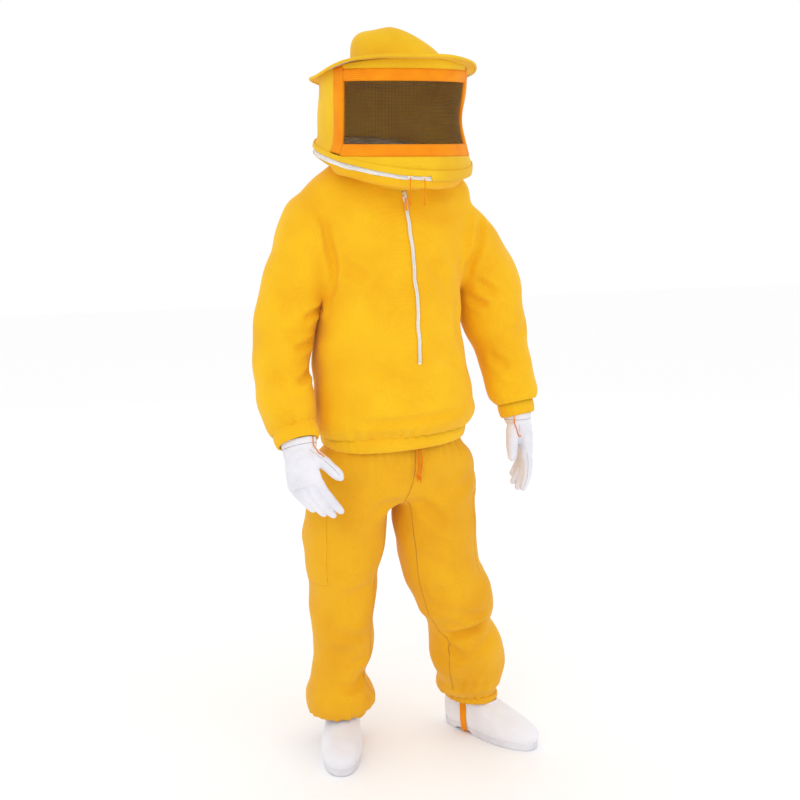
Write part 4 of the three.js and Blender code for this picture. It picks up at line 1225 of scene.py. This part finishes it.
def make_rim_flap():
    """The lower edge of the hood: it hangs over the neck zip, further down on the wearer's left."""
    turn = np.arange(-180, 180, 1.0)
    low = -2.5 - 5.0 * ease((turn + 100) / 100) * (turn < 9)
    low = np.where(turn >= 9, -2.5 - 15.0 * ease((turn - 9) / 3) * ease((178 - turn) / 60), low)
    wave = 1.2 * np.sin(np.radians(turn) * 7) + 0.8 * np.sin(np.radians(turn) * 15 + 1)
    rows = []
    for r, top, share in ((-1.0, 8, 0), (0.6, 4, 0), (1.6, 0, 0.4), (1.2, 0, 0.92), (-0.6, 0, 1),
                          (-2.0, 0, 0.9), (-2.0, 0, 0.3),
                          (-3.0, 6, 0)):
        rows.append(round_point(RIM_R + r + wave * 0.3 * share, turn, top + (low + 0.5 * wave) * share))
    verts, faces = grid(rim_frame(np.array(rows + rows[:1])), closed=True)
    put(make_object("rim_flap_cloth", verts, faces, HOOD), "hood", "spacer_fabric")
    # A loose edge of the collar hangs below the zip at the front.
    turn = np.linspace(-80, 62, 120)
    fold = 4.0 * np.sin(np.radians(turn) * 6 + 0.6) + 2.6 * np.sin(np.radians(turn) * 13)
    fade = ease((turn + 80) / 14) * ease((62 - turn) / 14)
    rows = [round_point(r + fold * share, turn, -16 - drop * fade + 0.5 * fold * share)
            for r, drop, share in ((189.5, 0, 0), (186.5, 8, 0.4), (181, 18, 0.8), (175, 25, 1.0),
                                   (172.5, 25, 1.0),
                                   (177, 17, 0.8), (183, 8, 0.4), (186.5, 0.5, 0))]
    verts, faces = grid(rim_frame(np.array(rows + rows[:1])))
    count, n = len(turn), len(rows)
    faces += [[k * count for k in range(n)], [k * count + count - 1 for k in range(n)][::-1]]
    put(make_object("collar_edge_cloth", verts, faces, YELLOW), "torso", "spacer_fabric")


def make_neck():
    turn = np.arange(0, 361, 2.0)
    wave = lambda a: 1.3 * np.sin(np.radians(a) * 9) + 0.8 * np.sin(np.radians(a) * 17 + 1)
    for name, node, body, low, high in (("hood_zip_cloth", "hood_zip_tape", "hood", ZIP_LINE + 0.2, -0.6),
                                        ("collar_zip_cloth", "collar_zip_tape", "torso", -17.0,
                                         ZIP_LINE - 0.2)):
        rows = []
        for r, z in ((RING_R + 1.6, low), (RING_R + 2.0, (low + high) / 2), (RING_R + 1.6, high),
                     (RING_R, high),
                     (RING_R, low), (RING_R + 1.6, low)):
            rows.append(round_point(r + wave(turn[:-1]) * 0.3, turn[:-1], z + wave(turn[:-1]) * 0.5))
        verts, faces = grid(rim_frame(np.array(rows)), closed=True)
        put(make_object(name, verts, faces, WHITE_TAPE), body, "white_zip", node)
    path = rim_frame(round_point(RING_R + 2.2, turn, ZIP_LINE + wave(turn) * 0.5))
    out = rim_frame(round_point(RING_R + 3.2, turn, ZIP_LINE + wave(turn) * 0.5)) - path
    up = rim_frame(round_point(RING_R + 2.2, turn, ZIP_LINE + 1 + wave(turn) * 0.5)) - path
    put(coil(path, up, out, 2.8, "neck_zip_coil"), "torso", "white_zip")
    # The collar opens like a funnel from the neckline to the zip.
    turn = np.arange(0, 360, 2.5)
    rows = []
    shape = [(104, -62), (108, -58), (122, -51), (142, -43), (160, -36), (176, -29), (188, -22), (191, -17),
             (186, -18),
             (172, -26), (150, -36), (128, -45), (106, -55), (100, -62)]
    for k, (r, z) in enumerate(shape):
        a = np.radians(turn)
        fold = (2.6 * np.sin(6 * a + 0.5) + 2.0 * np.sin(11 * a + 2)) * math.sin(math.pi * min(1, k / 12))
        rows.append(round_point(r + fold, turn, z + fold * 0.4))
    verts, faces = grid(rim_frame(np.array(rows + rows[:1])), closed=True)
    collar = make_object("collar_cloth", verts, faces, YELLOW)
    put(collar, "torso", "spacer_fabric", "collar")


make_neck()
make_rim_flap()

# ------------------------------------------------------------------------------------------------------------
# Gloves and thumb loops
# ------------------------------------------------------------------------------------------------------------
HAND = {"left": ((0.02, -0.12, -0.99), (-0.3, -0.95, 0)), "right": ((0.1, -0.4, -0.91), (0.75, -0.62, 0))}
# Rows of [x, y, z, half thickness, half width], x towards the back of the hand and -y towards the thumb.
HEM = {"left": [[0, 0, 4, 36, 38], [1, 0, -14, 34, 38]], "right": [[0, 0, 4, 41, 45], [1, 0, -14, 38, 43]]}
PALM = [[9, 0, -40, 27, 40], [15, -2, -70, 21, 44], [17, -2, -98, 18, 46], [15, -2, -114, 13, 43]]
FINGER_ROWS = {
    "left": [
        [[16, -33, -98, 12.5], [17, -36, -128, 12.3], [13, -38, -160, 11], [3, -36, -188, 8.5],
         [-1, -35, -196, 4]],
        [[16, -11, -98, 12.8], [14, -12, -130, 12.6], [5, -14, -164, 11.4], [-10, -14, -190, 8.8],
         [-14, -14, -196, 4]],
        [[15, 12, -98, 12.5], [10, 10, -128, 12.2], [-4, 8, -158, 11], [-20, 5, -178, 8.5],
         [-24, 4, -183, 4]],
        [[13, 33, -96, 11.5], [6, 31, -120, 11], [-8, 28, -144, 10], [-20, 25, -160, 7.8],
         [-24, 24, -164, 4]]],
    "right": [
        [[14, -33, -98, 12.5], [12, -42, -128, 12.4], [6, -56, -160, 11.4], [-3, -70, -188, 8.8],
         [-6, -74, -195, 4]],
        [[14, -11, -98, 12.8], [10, -18, -130, 12.8], [1, -32, -164, 11.6], [-9, -46, -192, 9],
         [-12, -50, -199, 4]],
        [[13, 12, -98, 12.5], [7, 7, -128, 12.6], [-3, -8, -158, 11.4], [-14, -22, -184, 8.8],
         [-16, -25, -190, 4]],
        [[11, 33, -94, 11.5], [5, 28, -118, 11.6], [-4, 15, -146, 10.6], [-13, 3, -168, 8.2],
         [-15, 0, -173, 4]]],
}
THUMB = {"left": [[-12, -22, -26, 17], [-17, -32, -50, 17], [-20, -38, -80, 15.5], [-22, -41, -104, 12],
                  [-22.5, -42, -118, 5]],
         "right": [[2, -20, -28, 17], [2, -42, -50, 17], [-3, -62, -76, 16], [-8, -82, -106, 12.5],
                   [-10, -89, -117, 5]]}


def hand_frame(side):
    """The turn of a glove and the middle of its wrist."""
    down, thumb = (np.array(way, float) for way in HAND[side])
    up = -down / np.linalg.norm(down)
    back = np.cross(-thumb, up)
    back /= np.linalg.norm(back)
    point, way = ARM_END[side]
    way = np.array(way) / np.linalg.norm(way)
    return np.stack([back, np.cross(up, back), up], 1), np.array(point) + way * 30


def make_gloves():
    for side, sign in SIDES:
        turn, wrist = hand_frame(side)
        place = lambda points: np.asarray(points, float) * (sign, 1, 1) @ turn.T + wrist
        rows_of = lambda rows: [[*row, row[3]] if len(row) == 4 else row for row in rows]
        parts = []
        for rows, sides in ([(HEM[side] + PALM, 40)] + [(rows,
                                                         20) for rows in FINGER_ROWS[side]] + [(THUMB[side],
                                                                                                24)]):
            verts, faces = skin(limb(rows_of(rows), sides, 30))
            parts.append((place(verts), faces))
        cloth = Cloth(parts, 2.3, 5)
        here = (cloth.v - wrist) @ turn
        cloth.rumple(0.6, 30, 40 + sign, ease((here[:, 2] + 170) / 60))
        # Creases at the wrist, the knuckles, the root of the thumb and between the fingers.
        tree = cloth.tree()
        lines = [([(36, -26, -18), (38, -4, -24), (36, 18, -20)], 5, 1.6),
                 ([(34, -30, -34), (38, -8, -42), (36, 14, -38)], 5, 1.3),
                 ([(40, -36, -84), (42, -20, -90), (40, -4, -86)], 5, 1.2),
                 ([(40, 0, -88), (40, 18, -92), (36, 34, -86)], 5, 1.1),
                 ([(-6, -44, -34), (8, -48, -48), (14, -50, -62)], 5, 1.8),
                 ([(-22, -8, -40), (-14, 4, -64), (-6, 18, -80)], 6, 1.8),
                 ([(0, -60, -30), (4, -60, -40), (8, -56, -52)], 5, 1.0)]
        fingers = FINGER_ROWS[side]
        for a, b in zip(fingers, fingers[1:]):
            for lift in (12, -12):
                lines.append(([[(p[0] + q[0]) / 2 + lift, (p[1] + q[1]) / 2, (p[2] + q[2]) / 2] for p,
                               q in zip(a[:4], b)],
                              3.4, 1.5))
        for points, width, depth in lines:
            cloth.fold(on_surface(tree, place(np.array(points, float)))[0], width, depth, 0.35)
        cloth.smooth(1)
        tree = cloth.tree()
        centre = (cloth.v[cloth.f].mean(1) - wrist) @ turn
        glove = cloth.piece(f"glove_{side}_leather", centre[:, 2] < 6, LEATHER,
                            cuts=[(place((0, 0, 3.0)), turn[:, 2])])
        put(thicken(glove, 1.8), f"hand_{side}", "glove_leather", f"glove_{side}")
        a = np.linspace(0, 2 * math.pi, 61)
        hem = place(np.stack([37 * np.cos(a), 42 * np.sin(a), -13 + 0 * a], 1))
        index = place(np.array([(row[0], row[1] - 16, row[2]) for row in fingers[0][:-1]]))
        thumb = place(np.array([(row[0] + 14, row[1] - 10, row[2]) for row in THUMB[side][:-1]]))
        lines = [seam("hem_line", tree, hem, LEATHER, 1.8, 1.1), seam("finger_line", tree, index, LEATHER,
                                                                      1.4, 0.8),
                 seam("thumb_line", tree, thumb, LEATHER, 1.4, 0.8)]
        put(joined(f"glove_{side}_seams", lines), f"hand_{side}", "glove_leather")
        # An elastic loop runs from the cuff over the root of the thumb and between the thumb and the forefinger.
        loops = {"left": [(-13, -36, 2), (-13, -42, -16), (-5, -50, -34), (2, -50, -52)],
                 "right": [(8, -46, 2), (12, -50, -16), (12, -56, -34), (10, -60, -56)]}[side]
        laid, _ = on_surface(tree, through(place(np.array(loops, float)), 26)[:, :3], 1.2)
        laid = np.vstack([laid, place([(loops[-1][0] + 3, loops[-1][1] + 14, loops[-1][2] - 4)])])
        strand, line = tube(f"thumb_loop_{side}_cord", laid, 1.3, CORD, 10, 60, ends=False)
        put(strand, f"hand_{side}", "orange_tape", f"thumb_loop_{side}")


make_gloves()


# ------------------------------------------------------------------------------------------------------------
# Clogs and foot straps
# ------------------------------------------------------------------------------------------------------------
CLOG_ROWS = [[20, 53, -220, 73], [27, 55, -223, 75], [38, 56, -224, 76.5], [50, 55, -216, 77.5],
             [62, 52, -194, 77.5],
             [74, 49, -160, 76.5], [86, 46, -121, 75], [98, 42.5, -90, 72]]
ARCH = (-34.0, 14.0)


def foot_outline(half, front, back, sides, sign, power=2.25):
    """The plan of a foot: broad over the toes, narrower at the heel and a little hollow on the inner side."""
    ring = oval((0, (front + back) / 2, 0), (1, 0, 0), (0, 1, 0), half, (back - front) / 2, sides, power)
    t = (ring[:, 1] - front) / (back - front)
    ring[:, 0] *= 1 - 0.17 * ease((t - 0.28) / 0.5)
    inner = -sign
    hollow = 5.0 * np.exp(-((t - 0.6) / 0.16) ** 2) * (ring[:, 0] * inner > 0)
    ring[:, 0] -= inner * hollow
    ring[:, 0] += inner * 5.0 * (1 - t) ** 2
    return ring


def foot_place(side):
    x, y, yaw = FOOT[side]
    c, s = math.cos(math.radians(yaw)), math.sin(math.radians(yaw))
    return lambda p: np.stack([x + p[..., 0] * c - p[..., 1] * s, y + p[..., 0] * s + p[..., 1] * c,
                               p[..., 2]], -1)


def make_clog(side, sign):
    place = foot_place(side)
    sides = 200
    fine = through(CLOG_ROWS, 40, "height")
    rings = []
    for z, half, front, back in fine:
        ring = foot_outline(half, front, back, sides, sign)
        ring[:, 2] = z
        rings.append(ring)
    top = rings[-1]
    centre = top.mean(0)
    lip = [(0.995, 2.0), (0.975, 3.2), (0.95, 3.0), (0.925, 1.2), (0.92, -4), (0.92, -14)]
    for scale, lift in lip:
        ring = centre + (top - centre) * scale
        ring[:, 2] = 98 + lift
        rings.append(ring)
    for k in range(20, -1, -2):
        z, half, front, back = fine[min(k + 12, 34)] if k > 14 else fine[k]
        ring = foot_outline(half - 3.4, front + 3.4, back - 3.4, sides, sign)
        ring[:, 2] = min(z, 80)
        if 22 < ring[0, 2] < 80:
            rings.append(ring)
    ring = rings[-1].copy()
    ring[:, 2] = 23.5
    rings.append(ring)
    first = rings[0].copy()
    first[:, 2] = 23.4
    table = np.array(rings)
    # The upper rises from the sole, rolls over at the lip and runs back down inside.
    verts, faces = skin(place(table), ends=False)
    faces.append(list(range((len(rings) - 1) * sides, len(rings) * sides)))
    upper = make_object(f"clog_{side}_upper", verts, faces, CLOG)
    put(upper, f"foot_{side}", "clog_foam", f"clog_upper_{side}")
    # Outsole: a welt at the top, wedge-shaped notches round the lower edge and a raised arch.
    sides = 360
    rows = []
    arch = lambda y: 8.5 * ease((y - ARCH[0] + 10) / 14) * ease((ARCH[1] + 10 - y) / 14)
    notch = (np.arange(sides) % 5 == 0).astype(float)
    for z, grow, cut in ((21.6, -1.2, 0), (21.2, 0.6, 0), (19.2, 1.2, 0), (17.6, 0.4, 0), (12, 0.0, 0),
                         (5.6, -0.6, 0),
                         (5.2, -0.6, 0.4), (2.4, -1.4, 2.6), (0, -2.2, 4.2)):
        ring = foot_outline(53.5 + grow, -221 - grow, 74 + grow, sides, sign)
        t = (ring[:, 1] + 221) / 295
        quiet = 1 - np.exp(-((t - 0.55) / 0.17) ** 4)
        middle = np.array([0, -68, 0.0])
        ring -= (ring - middle) / np.linalg.norm(ring - middle, axis=1)[:, None] * (cut * notch * quiet)[:,
                                                                                                         None]
        ring[:, 2] = z + arch(ring[:, 1]) * (1 - z / 22)
        rows.append(ring)
    for share in (0.93, 0.7, 0.4, 0.08):
        ring = rows[8].copy()
        ring[:, 0] *= share
        ring[:, 2] = rows[8][:, 2] + (1.6 if share in (0.7, 0.4) else 0)
        rows.append(ring)
    verts, faces = skin(place(np.array(rows)[::-1]), ends=False)
    faces += [list(range(sides))[::-1], list(range((len(rows) - 1) * sides, len(rows) * sides))]
    sole = make_object(f"clog_{side}_outsole", verts, faces, SOLE)
    put(sole, f"foot_{side}", "sole_rubber", f"outsole_{side}")
    rings = []
    for z, grow in ((25, -1), (25, 0), (27.4, 0), (28.2, -1.2), (28.0, -8), (27.2, -30)):
        ring = foot_outline(46 + grow, -212 - grow, 66 + grow, 120, sign)
        ring[:, 2] = z
        rings.append(ring)
    insole = make_object(f"clog_{side}_insole", *skin(place(np.array(rings))), LINING)
    put(insole, f"foot_{side}", "sole_rubber", f"insole_{side}")
    # Foot strap: from the ankle down one side, under the arch and up the other.
    heights = np.array([106, 98, 90, 80, 70, 60, 50, 40, 30, 22, 15, 9.0])
    line, outward = [], []
    lower = []
    for edge in (1, -1):
        run = []
        for z in heights:
            y = -3 - 13 * (1 - (z - 9) / 97)
            k = np.clip(z, 20, 98)
            half, front, back = (np.interp(k, fine[:, 0], fine[:, c]) for c in (1, 2, 3))
            if z < 20:
                half, front, back = 53.5, -221, 74
            ring = foot_outline(half, front, back, 400, sign)
            mine = ring[ring[:, 0] * edge > 0]
            x = np.interp(y, mine[np.argsort(mine[:, 1]), 1], mine[np.argsort(mine[:, 1]), 0])
            run.append((x + edge * (2.2 if z > 26 else 3.4), y, z))
        lower.append(run)
    under = [(lower[0][-1][0] - 2.5, -16, 5.2), (lower[0][-1][0] - 8, -16, 3.4), (0, -16, 3.2),
             (lower[1][-1][0] + 8, -16, 3.4), (lower[1][-1][0] + 2.5, -16, 5.2)]
    points = np.array(lower[0] + under + lower[1][::-1])
    for _ in range(3):
        points[1:-1] = 0.2 * points[:-2] + 0.6 * points[1:-1] + 0.2 * points[2:]
    dense = through(points, 110)[:, :3]
    way = np.gradient(dense, axis=0)
    out = np.cross(way, (0, 1, 0))
    middle = np.array([0, -10, 55])
    out *= np.sign(np.sum(out * (dense - middle), axis=1))[:, None]
    laid = place(dense)
    across = np.cross(np.gradient(laid, axis=0), place(dense + out) - laid)
    strap = ribbon(laid, across, place(dense + out) - laid, 19, 1.5, f"foot_strap_{side}_tape", ORANGE, 0.1)
    put(strap, f"foot_{side}", "orange_tape", f"foot_strap_{side}")


for side, sign in SIDES:
    make_clog(side, sign)


# ------------------------------------------------------------------------------------------------------------
# Front zip, neck sliders, drawstrings, waist elastic and hoops
# ------------------------------------------------------------------------------------------------------------
def make_front_zip(tree):
    z = np.linspace(1054, 1462, 140)
    t = (z - 1054) / (1462 - 1054)
    x = ZIP_FOOT[0] + (z - ZIP_FOOT[2]) / (ZIP_TOP[2] - ZIP_FOOT[2]) * (ZIP_TOP[0] - ZIP_FOOT[0])
    x = x + 8.0 * np.sin(math.pi * t) ** 0.8 + 1.1 * np.sin(t * 21) + 0.6 * np.sin(t * 47 + 1)
    front = [tree.ray_cast(Vector((a, -320, b)), Vector((0, 1, 0)))[0] for a, b in zip(x, z)]
    path, away = on_surface(tree, front, 0.0)
    for _ in range(4):
        path[1:-1] = 0.25 * path[:-2] + 0.5 * path[1:-1] + 0.25 * path[2:]
    way = np.gradient(path, axis=0)
    side = np.cross(way, away)
    side /= np.linalg.norm(side, axis=1)[:, None]
    side *= np.sign(side[:, :1])
    for name, sign in (("left", 1), ("right", -1)):
        tape = ribbon(path + sign * 2.5 * side, side, away, 4.4, 1.2, f"front_zip_cloth_{name}", WHITE_TAPE,
                      0.25)
        put(tape, "torso", "white_zip", f"front_zip_tape_{name}")
    put(coil(path[2:-2] + away[2:-2] * 0.9, side[2:-2], away[2:-2], 2.5, "front_zip_coil"), "torso",
        "white_zip")
    stop, _ = tube("front_zip_end", [path[0] - side[0] * 4, path[0] + away[0] * 0.6, path[0] + side[0] * 4],
                   2.2, COIL,
                   10, 12)
    put(stop, "torso", "white_zip", "front_zip_stop")
    # The fabric folds inward on both sides of the zip.
    for name, sign in (("left", 1), ("right", -1)):
        edge, _ = on_surface(tree, path + sign * 5.6 * side, 0.0)
        roll = ribbon(edge, side, away, 2.6, 1.5, f"front_zip_edge_{name}", YELLOW, 0.3)
        put(roll, "torso", "spacer_fabric")


def slider_body(name, centre, along, side, out, material):
    """A zip slider: a waisted body with a bridge on top."""
    rows = [(-6.5, 3.0, 1.6), (-6, 3.6, 2.0), (-2, 3.4, 2.2), (2, 4.2, 2.2), (5.4, 5.0, 2.0), (6.4, 4.4, 1.5)]
    rings = []
    for s, w, h in through([[a, 0, 0, b, c] for a, b, c in rows], 20)[:, [0, 3, 4]]:
        rings.append(oval(centre + along * s + out * 1.6, side, out, w, h, 24, 3.2))
    body = make_object(name, *skin(np.array(rings)), material)
    arch = [centre + along * a + out * b for a, b in ((-5, 3.0), (-4, 5.2), (0, 6.0), (3.4, 5.0), (4.2, 3.0))]
    bridge, _ = tube(name + "_bridge", arch, 1.0, material, 10, 20)
    return joined(name, [body, bridge])


def node_middle(node):
    low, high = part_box(node)
    return (np.array(low) + np.array(high)) * 500 - PLACE


def make_sliders(tree):
    along = (ZIP_TOP - ZIP_FOOT) / np.linalg.norm(ZIP_TOP - ZIP_FOOT)
    side = np.array([1.0, 0, 0]) - along[0] * along
    side /= np.linalg.norm(side)
    out = np.cross(side, along)
    at = node_middle("front_zip_slider")
    face = tree.ray_cast(Vector((at[0], -320, at[2])), Vector((0, 1, 0)))[0]
    centre = np.array([at[0], face[1] - 0.6, at[2]])
    put(slider_body("front_slider_body", centre, along, side, out, COIL), "front_slider", "white_zip",
        "front_zip_slider")
    hang = centre + out * 6.2 + along * 2
    down = -along + out * 0.16
    points = [hang + down * s + out * lift for s, lift in ((0, 0.8), (4, 1.2), (12, 0.8), (22, 0.2),
                                                           (30, -0.2))]
    line = through(points, 30)[:, :3]
    tag = ribbon(line, np.tile(side, (31, 1)), np.tile(out, (31, 1)), 5.2, 1.6, "front_pull_tag", ORANGE, 0.3)
    ring, _ = tube("front_pull_ring",
                   [hang + side * 2.4 * math.cos(a) - along * (2.6 * math.sin(a) - 1) + out * 0.8
                                       for a in np.linspace(0, 2 * math.pi, 14)], 0.8, COIL, 8, 30)
    put(joined("front_pull_parts", [tag, ring]), "front_pull", "orange_tape", "front_zip_pull")
    for name, sign in SIDES:
        turn = sign * 5.0
        here = rim_frame(round_point(RING_R + 3.2, turn, ZIP_LINE))
        out_way = rim_frame(round_point(RING_R + 4.2, turn, ZIP_LINE)) - here
        along_way = rim_frame(round_point(RING_R + 3.2, turn + sign * 0.3, ZIP_LINE)) - here
        along_way /= np.linalg.norm(along_way)
        up = np.cross(out_way, along_way)
        body = slider_body(f"neck_slider_{name}_body", here - out_way * 1.4, along_way, up, out_way, COIL)
        put(body, f"neck_slider_{name}", "white_zip", f"hood_zip_slider_{name}")
        top = here + out_way * 3.4 + np.array([0, 0, -1.5])
        drop = [(0, 0, 0), (0.4 * sign, -1.2, -6), (1.2 * sign, -0.6, -18), (-0.6 * sign, 0.8, -34),
                (0.8 * sign, 0.4, -50),
                (0.2 * sign, 0.2, -60)]
        strand, line = tube(f"neck_pull_{name}_string", [top + np.array(d, float) for d in drop], 1.25, CORD,
                            10, 60)
        put(strand, f"neck_pull_{name}", "orange_tape", f"hood_zip_pull_{name}")
        end = knot(f"neck_pull_{name}_knot", line[-1] + np.array([0, 0, 1.0]), (0, 0, -1), 2.4, CORD)
        put(end, f"neck_pull_{name}", "orange_tape")


DRAWSTRINGS = {
    "left": [(33, -126, 846), (34.5, -133, 838), (36, -137, 822), (35, -139, 800), (33, -138, 776),
             (31.5, -137, 757)],
    "right": [(24, -126, 846), (23, -133, 838), (24, -137, 822), (27, -139.5, 800), (26, -139, 778),
              (24.5, -137, 763)],
}


def make_drawstrings():
    for side, sign in SIDES:
        strand, line = tube(f"drawstring_{side}_lace", DRAWSTRINGS[side], 2.0, CORD, 12, 70)
        put(strand, "torso", "orange_tape", f"drawstring_{side}")
        end = knot(f"drawstring_{side}_knot", line[-1] + np.array([0, 0, 1.0]), (0.05 * sign, 0, -1), 3.4,
                   CORD)
        put(end, "torso", "orange_tape")


def make_hidden_parts():
    elastic = soft_band("waist_elastic_band", WHITE_TAPE, (0, -8, 866), (0, 0, -1), (1, 0, 0), 152, 97, 24,
                        2.2, 52, 0.8,
                        2.3, 6, 1.0, 0.4)
    put(elastic, "torso", "white_zip", "waist_elastic")
    for name, node, carry, radius, height, thick in (("brim_hoop_wire", "brim_hoop", brim_frame, 198.6, 2,
                                                      1.25),
                                                     ("veil_hoop_wire", "veil_lower_hoop", rim_frame, 186, 4,
                                                      1.5)):
        turn = np.arange(0, 360, 3.0)
        bent = height + (droop(np.radians(turn - 90)) if node == "brim_hoop" else 0)
        rows = [carry(round_point(radius - 1.5 + thick * math.cos(a), turn, bent + thick * math.sin(a)))
                for a in np.arange(10) * math.pi / 5]
        verts, faces = grid(np.array(rows + rows[:1]), closed=True)
        put(make_object(name, verts, faces, STEEL), "hood", "spring_steel", node)


make_front_zip(jacket_skin)
make_sliders(jacket_skin)
make_drawstrings()
make_hidden_parts()
